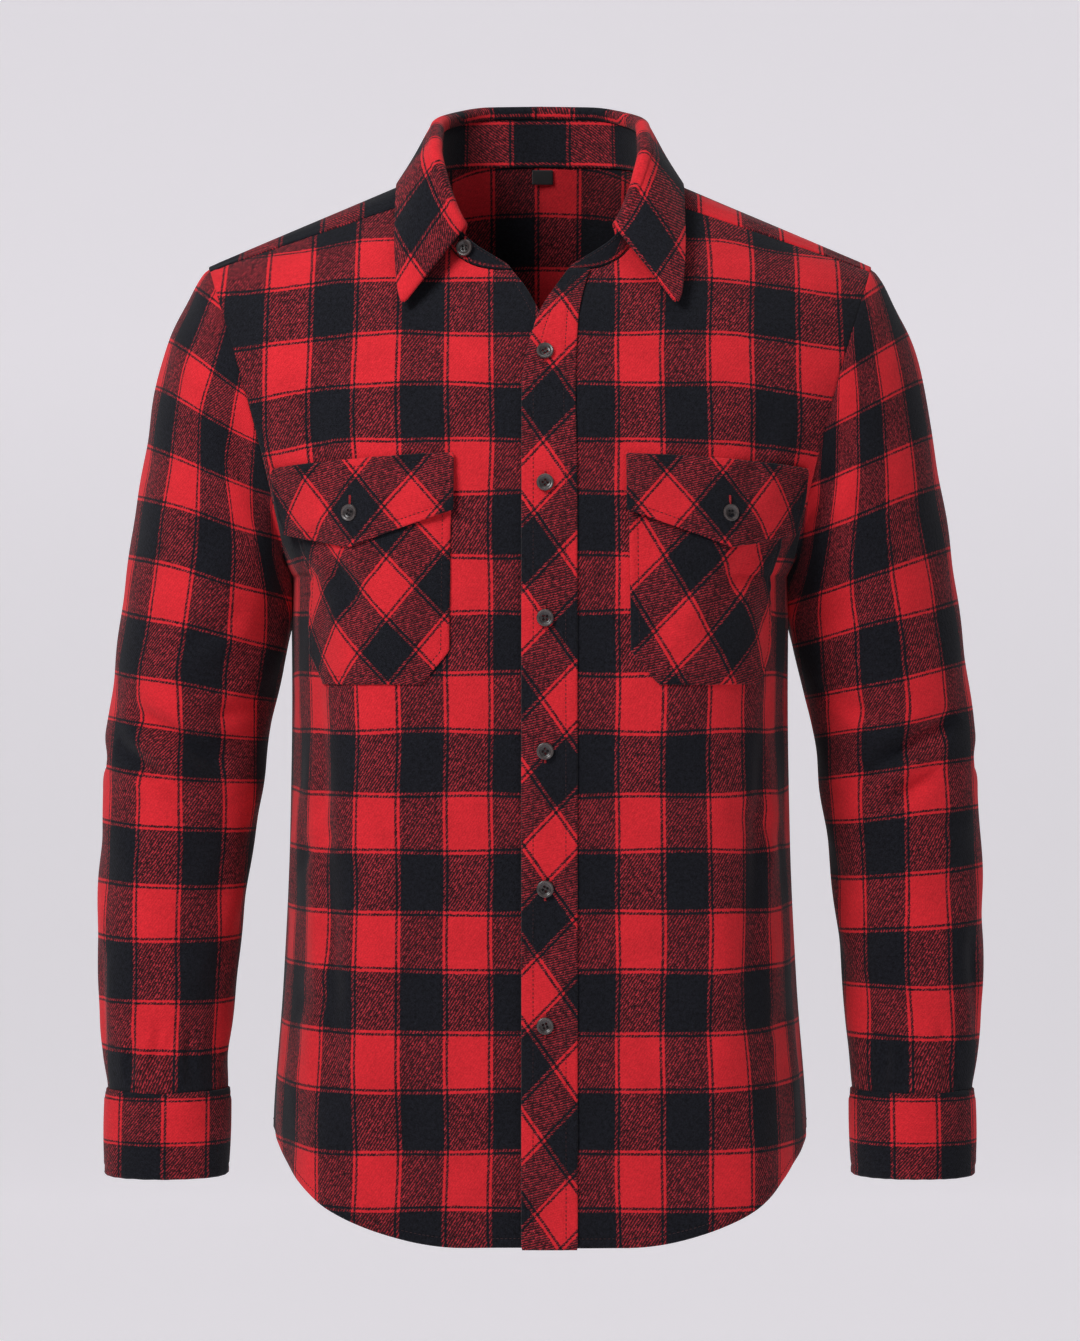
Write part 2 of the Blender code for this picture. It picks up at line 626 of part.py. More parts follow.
def leaf_line(share, surface):
    """Leaf of the collar from its seam over the fold to its outer edge."""
    seam = dict(neck_seam())[share]
    top = collar_line(share, "top")
    edge = collar_line(share, "edge")
    rise = (top - seam).normalized()
    along = collar_line(share + LEAF_STEP, "top") - collar_line(max(share - LEAF_STEP, 0), "top")
    out = rise.cross(along).normalized()
    middle = top + rise * (smooth(COLLAR, "fold", share, key="share") - FOLD_RADIUS)
    foot = top + rise * LYING_GAP - out * PANEL_WALL
    turns = []
    for angle in FOLD_ANGLES:
        turns.append(middle + (out * cos(radians(angle)) + rise * sin(radians(angle))) * FOLD_RADIUS)
    chord = edge - turns[-1]
    lift = (out - chord * (out.dot(chord) / chord.dot(chord))).normalized() * (LEAF_BULGE * chord.length)
    fall = [blend(turns[-1], edge, part) + lift * (4 * part * (1 - part)) for part in LEAF_PARTS]
    return [foot] + turns + [laid(point, surface, LYING_GAP + PANEL_WALL) for point in fall]


def make_leaf(yoke_lines):
    """Leaf of the collar: it folds over the stand and ends in two points."""
    surface = shoulder_surface(yoke_lines)
    lines = [leaf_line(share, surface) for share, _ in neck_seam() if share < LEAF_END]
    rows = [both_sides([line[step] for line in lines]) for step in range(len(lines[0]))]
    cloth("collar", rows, PANEL_WALL, DARK_CLOTH, side=-1)


# ---------------------------------------------------------------- sleeves and cuffs

def fold_depth(angle, z, around):
    """Depth of the sleeve's folds at a place on it."""
    depth = 0.0
    for fold in SLEEVE_FOLDS:
        for turn in (angle, angle + 360):
            run = Vector((radians(fold.angle_to - fold.angle_from) * around, fold.z_to - fold.z_from))
            here = Vector((radians(turn - fold.angle_from) * around, z - fold.z_from))
            part = min(1.0, max(0.0, here.dot(run) / run.dot(run)))
            away = (here - run * part).length
            depth += fold.depth * exp(-(away / fold.width) ** 2) * sin(pi * blend(0.12, 0.88, part))
    return depth


def sleeve_point(angle, down):
    """Point of the left sleeve: 0 at the outer side, 90 in front, 180 at the inner side."""
    ring = {column: smooth(SLEEVE, column, down, key="down") for column in SleeveRing._fields[1:]}
    turn = radians(angle)
    out = (1 + cos(turn)) / 2
    around = (ring["outer_x"] - ring["inner_x"]) / 2
    x = blend(ring["inner_x"], ring["outer_x"], out) - ring["bow"] * sin(turn) ** 2
    y = ring["middle_y"] - ring["half_depth"] * sin(turn)
    z = blend(ring["inner_z"], ring["outer_z"], out)
    trough = fold_depth(angle, z, (around + ring["half_depth"]) / 2)
    inward = Vector((-cos(turn), sin(turn), 0))
    return Vector((x, y, z)) + inward * trough


def sleeve_angles():
    """Angles round the armhole that match the corners of the front, the yoke and the back."""
    front = list(np.linspace(180, FRONT_SEAM_ANGLE, FRONT_ARM_ROWS + 1))
    yoke = list(np.linspace(FRONT_SEAM_ANGLE, -BACK_SEAM_ANGLE, YOKE_ROWS + 1))[1:]
    back = list(np.linspace(-BACK_SEAM_ANGLE, -180, BACK_ARM_ROWS + 1))[1:-1]
    return [angle % 360 for angle in front + yoke + back]


def make_sleeves():
    """Sleeves from the armhole to the cuff, with the seam's gap at the armhole."""
    drop = TIP - UNDERARM
    outward = Vector((drop.z, 0, -drop.x)).normalized()
    rows = []
    for down in SLEEVE_RING_STEPS:
        start = outward * (SEAM if down == 0 else 0)
        rows.append([sleeve_point(angle, down) + start for angle in sleeve_angles()])
    cloth("sleeve_left", rows, PANEL_WALL, RED_CLOTH, side=-1, closed=True)
    other = [[mirrored(point) for point in row] for row in rows]
    cloth("sleeve_right", other, PANEL_WALL, RED_CLOTH, closed=True)


def cuff_point(angle, z, under):
    """Point of a cuff, moved in where it passes under its own lap."""
    table = CUFF[::-1]
    ring = {column: smooth(table, column, z) for column in Cuff._fields[1:]}
    turn = radians(angle)
    half_width = (ring["outer_x"] - ring["inner_x"]) / 2 - under
    middle_x = (ring["outer_x"] + ring["inner_x"]) / 2
    y = ring["middle_y"] - (ring["half_depth"] - under) * sin(turn)
    return Vector((middle_x + half_width * cos(turn), y, z))


def make_cuffs():
    """Cuffs: bands that lap over themselves at the back of the wrist."""
    length = 360 + CUFF_LAP
    steps = round(length / CUFF_STEP)
    rows = []
    for ring in CUFF:
        row = []
        for turned in np.linspace(0, length, steps + 1):
            under = (CUFF_WALL + CUFF_LAP_GAP) * ease(turned, 360 - CUFF_BLEND, 360 - 8)
            row.append(cuff_point(CUFF_LAP_START + turned, ring.z, under))
        rows.append(row)
    cloth("cuff_left", rows, CUFF_WALL, RED_CLOTH)
    other = [[mirrored(point) for point in row] for row in rows]
    cloth("cuff_right", other, CUFF_WALL, RED_CLOTH, side=-1)


def make_sleeve_plackets():
    """Strips that finish the sleeves' slits, at the back above the cuffs."""
    rows = []
    for down in np.linspace(*SLEEVE_PLACKET, 6):
        row = []
        for angle in np.linspace(*SLEEVE_PLACKET_ANGLES, 4):
            out = Vector((cos(radians(angle)), -sin(radians(angle)), 0))
            row.append(sleeve_point(angle, down) + out * (TRIM_WALL + LYING_GAP / 2))
        rows.append(row)
    cloth("sleeve_placket_left", rows, TRIM_WALL, DARK_CLOTH)
    other = [[mirrored(point) for point in row] for row in rows]
    cloth("sleeve_placket_right", other, TRIM_WALL, DARK_CLOTH, side=-1)


# ---------------------------------------------------------------- what lies on the fronts

def on_front(distance, z, lift):
    """Point above a front, on the left side of the body."""
    return body_point(distance, z, FRONT) + body_out(distance, z, FRONT) * lift


def make_band():
    """Button band: a bias strip on the edge of the left front, up to the neckline."""
    rows = []
    top = front_top_z(0, LEFT_EDGE) - 1.5 * SEAM
    for part in np.linspace(0, 1, BAND_ROWS):
        row = []
        for share in np.linspace(0, 1, 4):
            low = FRONT_HEM - BAND_DROP
            z = blend(low, top, part)
            inner = smooth(LEFT_EDGE, "distance", z)
            distance = blend(inner, smooth(BAND_SEAM, "distance", z), share)
            row.append(on_front(distance, z, lap_lift(distance, z) + TRIM_WALL + LYING_GAP))
        rows.append(row)
    cloth("front_band", rows, TRIM_WALL, DARK_CLOTH)


def pocket_rows():
    """Pocket with its lower corners cut off."""
    rows = []
    for row in POCKET[::-1]:
        distances = np.linspace(row.inner, row.outer, POCKET_COLUMNS + 1)
        rows.append([on_front(distance, row.z, TRIM_WALL + LYING_GAP) for distance in distances])
    return rows


def flap_spot(distance, part):
    """Height and lift of the flap at a part of the way down it."""
    distances = [column.distance for column in FLAP]
    top = np.interp(distance, distances, [column.top for column in FLAP])
    bottom = np.interp(distance, distances, [column.bottom for column in FLAP])
    return blend(top, bottom, part), TRIM_WALL + LYING_GAP + FLAP_RISE * ease(part, 0, 0.34)


def flap_rows():
    """Flap with a point in the middle of its lower edge."""
    rows = []
    for part in (1, 0.68, 0.34, 0.12, 0):
        distances = np.linspace(FLAP[0].distance, FLAP[-1].distance, FLAP_COLUMNS + 1)
        rows.append([on_front(distance, *flap_spot(distance, part)) for distance in distances])
    return rows


def make_pockets():
    """Chest pockets and their flaps, the same on both fronts."""
    for name, rows in (("pocket", pocket_rows()), ("flap", flap_rows())):
        cloth(f"{name}_left", rows, TRIM_WALL, DARK_CLOTH)
        other = [[mirrored(point) for point in row] for row in rows]
        cloth(f"{name}_right", other, TRIM_WALL, DARK_CLOTH, side=-1)


# ---------------------------------------------------------------- buttons and tab

def button_mesh():
    """Half section of a sewn button: flat back, round rim and dished face."""
    edge = BUTTON_RADIUS
    high = BUTTON_HEIGHT
    outline = [
        (0, 0.70 * high), (0.62 * edge, 0.72 * high), (0.80 * edge, high),
        (0.98 * edge, 0.80 * high), (edge, 0.35 * high), (0.85 * edge, 0), (0, 0),
    ]
    mesh = bpy.data.meshes.new("button")
    mesh.from_pydata([(x, 0, z) for x, z in outline], [(i, i + 1) for i in range(len(outline) - 1)], [])
    return mesh


def add_button(name, seat, out):
    """Button on a seat, facing out."""
    piece = place(name, button_mesh(), BUTTON_PLASTIC)
    turned = piece.modifiers.new("Turned", "SCREW")
    turned.steps = turned.render_steps = 12
    turned.use_merge_vertices = True
    turned.merge_threshold = 0.00001
    turned.use_normal_calculate = True
    piece.location = seat + out * SEAM
    piece.rotation_euler = Vector((0, 0, 1)).rotation_difference(out).to_euler()


def make_buttons():
    """Buttons of the band, the collar stand, the flaps and the cuffs."""
    for number, z in enumerate(BAND_BUTTON_HEIGHTS, start=1):
        seat = on_front(BAND_BUTTON_X, z, lap_lift(BAND_BUTTON_X, z) + TRIM_WALL + LYING_GAP)
        add_button(f"button_band_{number}", seat, body_out(BAND_BUTTON_X, z, FRONT))
    middle = FLAP[2].distance
    height, lift = flap_spot(middle, FLAP_BUTTON)
    seat = on_front(middle, height, lift)
    out = body_out(middle, height, FRONT)
    add_button("button_flap_left", seat, out)
    add_button("button_flap_right", mirrored(seat), mirrored(out))
    bottom, _, top = stand_rows()
    low, high = bottom[-3], top[-3]
    out = (bottom[-2] - bottom[-4]).cross(high - low).normalized()
    out = -out if out.y > 0 else out
    add_button("button_collar_stand", mirrored(blend(low, high, 0.5) + out * SEAM), mirrored(out))
    angle = CUFF_LAP_START + CUFF_LAP / 2
    seat = cuff_point(angle, CUFF[1].z, -2 * SEAM)
    out = (cuff_point(angle, CUFF[1].z, -0.01) - seat).normalized()
    add_button("button_cuff_left", seat, out)
    add_button("button_cuff_right", mirrored(seat), mirrored(out))


def make_tab(yoke_lines):
    """Size tab that hangs from the neck seam inside the back."""
    top = yoke_lines[0][0]
    below = yoke_lines[0][1]
    down = (below - top).normalized()
    inward = Vector((0, -down.z, down.y)).normalized()
    inward = -inward if inward.y > 0 else inward
    rows = []
    for drop in (TAB_HEIGHT, 0):
        height = top + down * (0.0012 + drop) + inward * (PANEL_WALL + 2.5 * SEAM)
        rows.append([Vector((x, height.y, height.z)) for x in (TAB_FROM, TAB_TO)])
    cloth("size_tab", rows, TAB_WALL, TAB_CLOTH)


for old in list(bpy.data.objects):
    bpy.data.objects.remove(old, do_unlink=True)
SHIRT = bpy.data.collections.new("flannel_shirt")
bpy.context.scene.collection.children.link(SHIRT)

make_fronts()
make_back()
yoke_columns = make_yoke()
make_stand()
make_leaf(yoke_columns)
make_band()
make_pockets()
make_sleeves()
make_cuffs()
make_sleeve_plackets()
make_buttons()
make_tab(yoke_columns)
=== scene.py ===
"""Long-sleeved flannel shirt in a large red and black check, filled out as if worn."""
from math import cos, pi, radians, sin, sqrt

import bpy
import numpy as np
from mathutils import Matrix, Vector
from mathutils.bvhtree import BVHTree


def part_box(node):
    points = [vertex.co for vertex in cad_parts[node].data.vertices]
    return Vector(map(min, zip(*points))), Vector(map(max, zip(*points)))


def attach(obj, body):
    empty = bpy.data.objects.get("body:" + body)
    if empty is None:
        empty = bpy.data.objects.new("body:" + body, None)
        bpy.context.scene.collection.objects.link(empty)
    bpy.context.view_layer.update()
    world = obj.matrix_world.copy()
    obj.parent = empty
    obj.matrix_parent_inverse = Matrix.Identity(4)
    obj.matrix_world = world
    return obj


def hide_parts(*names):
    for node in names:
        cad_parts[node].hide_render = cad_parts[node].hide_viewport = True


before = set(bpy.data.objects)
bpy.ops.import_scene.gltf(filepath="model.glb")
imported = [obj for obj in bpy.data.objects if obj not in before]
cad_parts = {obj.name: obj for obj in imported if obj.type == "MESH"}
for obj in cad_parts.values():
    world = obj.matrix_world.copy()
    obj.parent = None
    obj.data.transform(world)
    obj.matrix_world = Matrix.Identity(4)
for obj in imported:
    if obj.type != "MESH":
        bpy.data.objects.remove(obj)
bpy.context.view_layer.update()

# ---------------------------------------------------------------- fronts
# The two fronts are brushed cotton twill on the straight grain, filled out as if worn.  They
# lap in the middle and stop at the side seams, the armholes, the yoke and the neckline.  The
# curved hem is turned up twice and stitched.

CLOTH_WALL = 0.0017
SEAM = 0.0003
SIDE_GAP = 0.0006
ROUNDED_EDGE = 0.45
SLOPE_STEP = 0.004
NECK_POINT_X, NECK_POINT_Z = 0.070, 0.0165
TIP_X, TIP_Z = 0.2305, -0.0522
UNDERARM_X, UNDERARM_Z = 0.1740, -0.2680
ARMHOLE_HALF_DEPTH, ARMHOLE_BOW = 0.080, 0.006
FRONT, BACK = -1, 1
LEFT, RIGHT = 1, -1

# Level sections of the body: height, depth in front, depth behind, half width, how flat the
# front and the back are, and how round they turn at the side
BODY = [
    (-0.750, 0.140, 0.128, 0.1885, 8.0, 5.0, 1.25), (-0.650, 0.139, 0.124, 0.1866, 7.8, 4.8, 1.25),
    (-0.550, 0.139, 0.119, 0.1795, 7.0, 4.5, 1.25), (-0.450, 0.141, 0.120, 0.1750, 6.5, 4.3, 1.25),
    (-0.350, 0.144, 0.126, 0.1735, 6.2, 4.2, 1.25), (-0.268, 0.143, 0.130, 0.1740, 5.0, 4.0, 1.30),
    (-0.200, 0.137, 0.131, 0.1740, 3.6, 3.4, 1.35), (-0.160, 0.129, 0.128, 0.1740, 3.0, 3.0, 1.40),
    (-0.100, 0.108, 0.118, 0.1740, 2.6, 2.6, 1.60), (-0.055, 0.080, 0.105, 0.1740, 2.2, 2.2, 1.90),
    (-0.034, 0.066, 0.096, 0.1740, 2.0, 2.0, 2.00), (-0.010, 0.050, 0.084, 0.1740, 2.0, 2.0, 2.00),
    (0.0165, 0.035, 0.068, 0.1740, 2.0, 2.0, 2.00),
]

# Free edges: height, and distance from the middle towards the front's own side
LEFT_EDGE = [(-0.750, -0.0120), (-0.145, -0.0118), (-0.115, -0.0072), (-0.094, -0.0009),
             (-0.075, 0.0098), (-0.060, 0.0195)]
RIGHT_EDGE = [(-0.750, -0.0210), (-0.135, -0.0200), (-0.115, -0.0130), (-0.089, 0.0009),
              (-0.072, 0.0103), (-0.060, 0.0195)]
LAP, LAP_FLAT, LAP_END = 0.00125, 0.026, 0.050
LAP_TOP, LAP_FULL = 0.066, 0.084
FRONT_HEM, FRONT_HEM_RISE = -0.7180, 0.066
HEM_TURN = (0.24, 1.00)
HEM_STITCH = 0.0056
HEM_ROWS, ARM_ROWS = 124, 64
# Creases and waves fade out near the side seams, the upper seams and the free edges
SIDE_CALM, TOP_CALM, EDGE_CALM = 0.030, 0.040, (0.015, 0.060)
# Columns crowd where the front narrows at the shoulder, so they are evened out in between
EVEN_ROUNDS, EVEN_START, EVEN_END = 6, 0.05, (0.78, 0.97)
NECK_CORNER_X, NECK_CORNER_Z = 0.070, -0.0004
NECKLINE_END_X, NECKLINE_END_Z = 0.0195, -0.0600
NECKLINE_SQUARE = 2.8
YOKE_SEAM_SLOPE = 0.3395

# Checks: where a black stripe starts, across each front and up the cloth.  The chest and the
# shoulders lean back, so the rows look closer there, and they drop a little beside the armholes
LEFT_FRONT_STRIPE, RIGHT_FRONT_STRIPE, FRONT_ROW = 0.0224, -0.0314, -0.3341
STRIPES_LEVEL_OUT = (-0.26, -0.16)
CHEST, CHEST_LEAN = -0.2158, 0.083
SHOULDER, SHOULDER_LEAN, SHOULDER_OUT = -0.062, (0.26, 0.60), (0.120, 0.170)
ROW_DROP, DROP_OUT, DROP_UP = 0.009, (0.120, 0.215), (-0.30, -0.20)

# Soft creases: start across and up, end across and up, bow, depth and half width
FRONT_CREASES = [
    (-0.168, -0.235, -0.105, -0.330, 0.006, 0.0034, 0.0120),
    (-0.160, -0.150, -0.128, -0.235, -0.006, 0.0024, 0.0100),
    (0.165, -0.240, 0.110, -0.320, -0.006, 0.0030, 0.0120),
    (0.158, -0.150, 0.128, -0.230, 0.006, 0.0022, 0.0100),
    (-0.176, -0.330, -0.150, -0.640, 0.008, 0.0036, 0.0130),
    (-0.140, -0.430, -0.128, -0.700, -0.006, 0.0022, 0.0120),
    (0.178, -0.345, 0.152, -0.650, -0.008, 0.0036, 0.0130),
    (0.138, -0.440, 0.124, -0.700, 0.006, 0.0022, 0.0120),
    (-0.096, -0.520, -0.088, -0.715, 0.004, 0.0014, 0.0110),
    (0.088, -0.500, 0.080, -0.710, -0.004, 0.0014, 0.0110),
    (-0.215, -0.470, -0.120, -0.440, 0.005, 0.0018, 0.0090),
    (0.220, -0.455, 0.125, -0.430, -0.005, 0.0018, 0.0090),
    (-0.205, -0.560, -0.130, -0.545, -0.004, 0.0014, 0.0090),
    (0.205, -0.575, 0.135, -0.560, 0.004, 0.0014, 0.0090),
    (-0.060, -0.095, -0.120, -0.140, 0.004, 0.0012, 0.0090),
    (0.062, -0.095, 0.122, -0.145, -0.004, 0.0012, 0.0090),
    (-0.052, -0.360, -0.120, -0.385, 0.003, 0.0010, 0.0080),
    (0.056, -0.362, 0.118, -0.392, -0.003, 0.0010, 0.0080),
]


def curve(rows, at):
    """Smooth values of a table's columns at places along its first column, never overshooting."""
    rows = np.asarray(rows, dtype=float)
    at = np.clip(np.asarray(at, dtype=float), rows[0, 0], rows[-1, 0])
    knots, values = rows[:, 0], rows[:, 1:]
    steps = np.diff(values, axis=0) / np.diff(knots)[:, None]
    before, after = steps[:-1], steps[1:]
    turns = before * after <= 0
    middle = np.where(turns, 0, 2 * before * after / np.where(turns, 1, before + after))
    slopes = np.vstack([steps[:1], middle, steps[-1:]])
    low = np.clip(np.searchsorted(knots, at, side="right") - 1, 0, len(knots) - 2)
    span = (knots[low + 1] - knots[low])[..., None]
    part = (at - knots[low])[..., None] / span
    rest = 1 - part
    return (values[low] * rest * rest * (1 + 2 * part) + values[low + 1] * part * part * (3 - 2 * part)
            + span * part * rest * (slopes[low] * rest - slopes[low + 1] * part))


def ease(value, start, end):
    """0 before start, 1 past end, and a soft step between them."""
    part = np.clip((value - start) / (end - start), 0, 1)
    return part * part * (3 - 2 * part)


def blend(first, second, part):
    """Value or point between two others."""
    return first * (1 - part) + second * part


def unit(ways):
    """Ways of length one."""
    return ways / np.maximum(np.linalg.norm(ways, axis=-1, keepdims=True), 1e-12)


def summed(steps, axis):
    """Running total of steps, from nothing."""
    return np.concatenate([0 * np.take(steps, [0], axis=axis), np.cumsum(steps, axis=axis)], axis=axis)


def together(*parts):
    """Points from their parts, such as x, y and z."""
    return np.stack(np.broadcast_arrays(*parts), axis=-1)


def lengths_along(points, axis):
    """Length along a grid of points, from its first row or column."""
    return summed(np.linalg.norm(np.diff(points, axis=axis), axis=-1), axis)


def armhole(angle):
    """Armhole seam of the left side: 0 at the shoulder tip, 90 in front, 180 underneath."""
    turn = np.radians(angle)
    up = (1 + np.cos(turn)) / 2
    x = blend(UNDERARM_X, TIP_X, up) - ARMHOLE_BOW * np.sin(turn) ** 2
    return together(x, -ARMHOLE_HALF_DEPTH * np.sin(turn), blend(UNDERARM_Z, TIP_Z, up))


def armhole_angle(z):
    """Angle at which the armhole seam passes a height."""
    return np.degrees(np.arccos(np.clip(1 - 2 * (TIP_Z - z) / (TIP_Z - UNDERARM_Z), -1, 1)))


LEVELS = np.unique(np.concatenate([
    np.linspace(BODY[0][0], UNDERARM_Z, 140), np.linspace(UNDERARM_Z, TIP_Z, 110),
    np.linspace(TIP_Z, NECK_POINT_Z, 80),
]))
SPANS = 220


def body_sections(face):
    """Even points along one face of every level section, and the length of that face."""
    front, back, side, front_flat, back_flat, turn = curve(BODY, LEVELS).T
    depth, flat = (front, front_flat) if face == FRONT else (back, back_flat)
    seam = armhole(armhole_angle(LEVELS))
    ridge_x = NECK_POINT_X + (NECK_POINT_Z - LEVELS) * (TIP_X - NECK_POINT_X) / (NECK_POINT_Z - TIP_Z)
    between = (LEVELS > UNDERARM_Z) & (LEVELS < TIP_Z)
    end_x = np.where(between, seam[:, 0], np.where(LEVELS >= TIP_Z, ridge_x, side))
    end_y = np.where(between, np.maximum(-seam[:, 1], SIDE_GAP), SIDE_GAP)
    width = end_x / (1 - (end_y / depth) ** turn) ** (1 / flat)
    x = end_x[:, None] * np.sin(np.linspace(0, pi / 2, 400))
    y = depth[:, None] * (1 - (x / width[:, None]) ** flat[:, None]) ** (1 / turn[:, None])
    lengths = summed(np.hypot(np.diff(x), np.diff(y)), 1)
    even = [np.linspace(0, row[-1], SPANS + 1) for row in lengths]
    xs = np.array([np.interp(at, row, line) for at, row, line in zip(even, lengths, x)])
    ys = np.array([np.interp(at, row, line) for at, row, line in zip(even, lengths, y)])
    return xs, face * ys, lengths[:, -1]


SECTIONS = {face: body_sections(face) for face in (FRONT, BACK)}


def face_width(z, face):
    """Length of one face of a section, from the middle to its end."""
    return np.interp(z, LEVELS, SECTIONS[face][2])


def body(distance, z, face):
    """Points of the body at distances from the middle, measured along the cloth, and heights."""
    distance, z = np.broadcast_arrays(distance, z)
    xs, ys, widths = SECTIONS[face]
    row = np.interp(z, LEVELS, np.arange(len(LEVELS)))
    low = np.minimum(row.astype(int), len(LEVELS) - 2)
    up = row - low
    place = np.clip(np.abs(distance) / blend(widths[low], widths[low + 1], up), 0, 1) * SPANS
    left = np.minimum(place.astype(int), SPANS - 1)
    over = place - left
    x, y = [blend(blend(table[low, left], table[low, left + 1], over),
                  blend(table[low + 1, left], table[low + 1, left + 1], over), up) for table in (xs, ys)]
    return together(np.copysign(x, distance), y, z)


def body_out(distance, z, face):
    """Outward ways of the body."""
    across = body(distance + SLOPE_STEP, z, face) - body(distance - SLOPE_STEP, z, face)
    up = body(distance, z + SLOPE_STEP, face) - body(distance, z - SLOPE_STEP, face)
    return unit(-face * np.cross(across, up))


def creased(marks, across, up):
    """Height of a cloth with soft troughs pressed in, and a low ridge on both sides of each."""
    height = np.zeros(np.broadcast(across, up).shape)
    for from_across, from_up, to_across, to_up, bow, depth, width in marks:
        run_across, run_up = to_across - from_across, to_up - from_up
        reach = np.hypot(run_across, run_up)
        part = ((across - from_across) * run_across + (up - from_up) * run_up) / reach ** 2
        aside = ((up - from_up) * run_across - (across - from_across) * run_up) / reach
        near = (aside - 4 * bow * part * (1 - part)) / width
        strength = depth * np.sin(pi * np.clip(part, 0, 1)) ** 0.8
        height -= strength * (1 - 0.7 * near ** 2) * np.exp(-0.6 * near ** 2)
    return height


def waves(across, up, seed, height, size, stretch=1.0):
    """Low waves that worn cloth keeps everywhere; stretch over 1 draws them out upwards."""
    draw = np.random.default_rng(seed)
    total = np.zeros(np.broadcast(across, up).shape)
    for _ in range(7):
        angle, phase, length = draw.uniform(0, pi), draw.uniform(0, 2 * pi), size * draw.uniform(0.6, 1.5)
        total += np.sin(2 * pi * (across * cos(angle) + up * sin(angle) / stretch) / length + phase)
    return total * height / sqrt(7)


def front_top(x):
    """Height of a front's upper edge: the neckline, then the yoke's seam."""
    part = np.clip((x - NECKLINE_END_X) / (NECK_CORNER_X - NECKLINE_END_X), 0, 1)
    drop = NECK_CORNER_Z - NECKLINE_END_Z
    neckline = NECK_CORNER_Z - drop * (1 - part ** NECKLINE_SQUARE) ** (1 / NECKLINE_SQUARE)
    return np.where(x < NECK_CORNER_X, neckline, NECK_CORNER_Z - (x - NECK_CORNER_X) * YOKE_SEAM_SLOPE)


def lap_lift(distance, z):
    """How far a front stands off the body where the fronts lap."""
    return LAP * (1 - ease(np.abs(distance), LAP_FLAT, LAP_END)) * ease(-z, LAP_TOP, LAP_FULL)


def front_relief(distance, z):
    """Height of the fronts' creases and waves, nothing at their seams."""
    reach = np.abs(body(distance, z, FRONT)[..., 0])
    calm = ease(face_width(z, FRONT) - np.abs(distance), 0, SIDE_CALM)
    calm = calm * ease(front_top(reach) - z, 0, TOP_CALM)
    calm = calm * blend(0.35, 1, ease(np.abs(distance), *EDGE_CALM))
    rest = waves(distance, z, 3, 0.00090, 0.080, 1.6) + waves(distance, z, 4, 0.00024, 0.030)
    return calm * (creased(FRONT_CREASES, distance, z) + rest)


def on_front(distance, z, lift=0.0, side=LEFT):
    """Points standing off the shown cloth of a front; distances run towards the wearer's left."""
    height = lift + side * lap_lift(distance, z) + front_relief(distance, z)
    return body(distance, z, FRONT) + body_out(distance, z, FRONT) * height[..., None]


def front_distance(share, z, edge):
    """Distance from the middle at a share of the way from the free edge to the side."""
    return blend(curve(edge, z)[..., 0], face_width(z, FRONT), share)


def front_tops(share, edge):
    """Heights at which columns of a front meet its upper edge."""
    low, high = np.full(share.shape, -0.30), np.full(share.shape, NECK_POINT_Z - SEAM)
    for _ in range(40):
        middle = (low + high) / 2
        below = middle < front_top(body(front_distance(share, middle, edge), middle, FRONT)[..., 0])
        low, high = np.where(below, middle, low), np.where(below, high, middle)
    return (low + high) / 2


def along_front(x, z):
    """Distance along the front's cloth at which it is so far from the middle."""
    distances = np.linspace(0, face_width(z, FRONT), 2000)
    return np.interp(x, body(distances, z, FRONT)[:, 0], distances)


def front_shares(edge, neck_columns, shoulder_columns):
    """Shares of a front's columns, with one at the yoke's corner."""
    z = np.array(NECK_CORNER_Z)
    start = curve(edge, z)[0]
    corner = (along_front(NECK_CORNER_X, z) - start) / (face_width(z, FRONT) - start)
    return np.concatenate([np.linspace(0, corner, neck_columns + 1),
                           np.linspace(corner, 1, shoulder_columns + 1)[1:]])


FRONT_SEAM_ANGLE = armhole_angle(front_top(np.array(TIP_X - 0.0007)))
NECK_COLUMNS = 28
SHOULDER_COLUMNS = 48


def heights_up(hem, top, seam_angle, arm_rows):
    """Heights of a panel's rows: even to the underarm, then even round the armhole."""
    rows = [blend(hem, UNDERARM_Z, step) for step in np.linspace(0, 1, HEM_ROWS, endpoint=False)]
    steps = armhole(np.linspace(180, seam_angle, arm_rows + 1))[:, 2]
    steps = (steps - steps[0]) / (steps[-1] - steps[0])
    return np.array(rows + [blend(UNDERARM_Z, top, step) for step in steps])


def front_grid(edge, side):
    """Signed distances and heights of a front, from the hem up and from its free edge out."""
    share = front_shares(edge, NECK_COLUMNS, SHOULDER_COLUMNS)
    hem = FRONT_HEM + FRONT_HEM_RISE * ease(share, *HEM_TURN)
    z = heights_up(hem, front_tops(share, edge) - 1.5 * SEAM, FRONT_SEAM_ANGLE, ARM_ROWS)
    distance = front_distance(share, z, edge)
    inside = ease(share, 0, EVEN_START) * (1 - ease(share, *EVEN_END))
    for _ in range(EVEN_ROUNDS):
        even = (distance[:-2] + 2 * distance[1:-1] + distance[2:]) / 4
        distance[1:-1] = blend(distance[1:-1], even, inside)
    return side * distance, z


def placed(name, data):
    """New object in the scene."""
    item = bpy.data.objects.new(name, data)
    bpy.context.scene.collection.objects.link(item)
    return item


def mesh_of(name, points, faces, edges=()):
    """Mesh from its points and faces, or edges."""
    mesh = bpy.data.meshes.new(name)
    mesh.from_pydata(points, edges, faces)
    return mesh


def grid_ways(points):
    """Ways down and across a grid of points."""
    return np.gradient(points, axis=0), np.gradient(points, axis=1)


def grid_quads(number):
    """Corners of the quads between numbered points of a grid."""
    return together(number[:-1, :-1], number[:-1, 1:], number[1:, 1:], number[1:, :-1]).reshape(-1, 4)


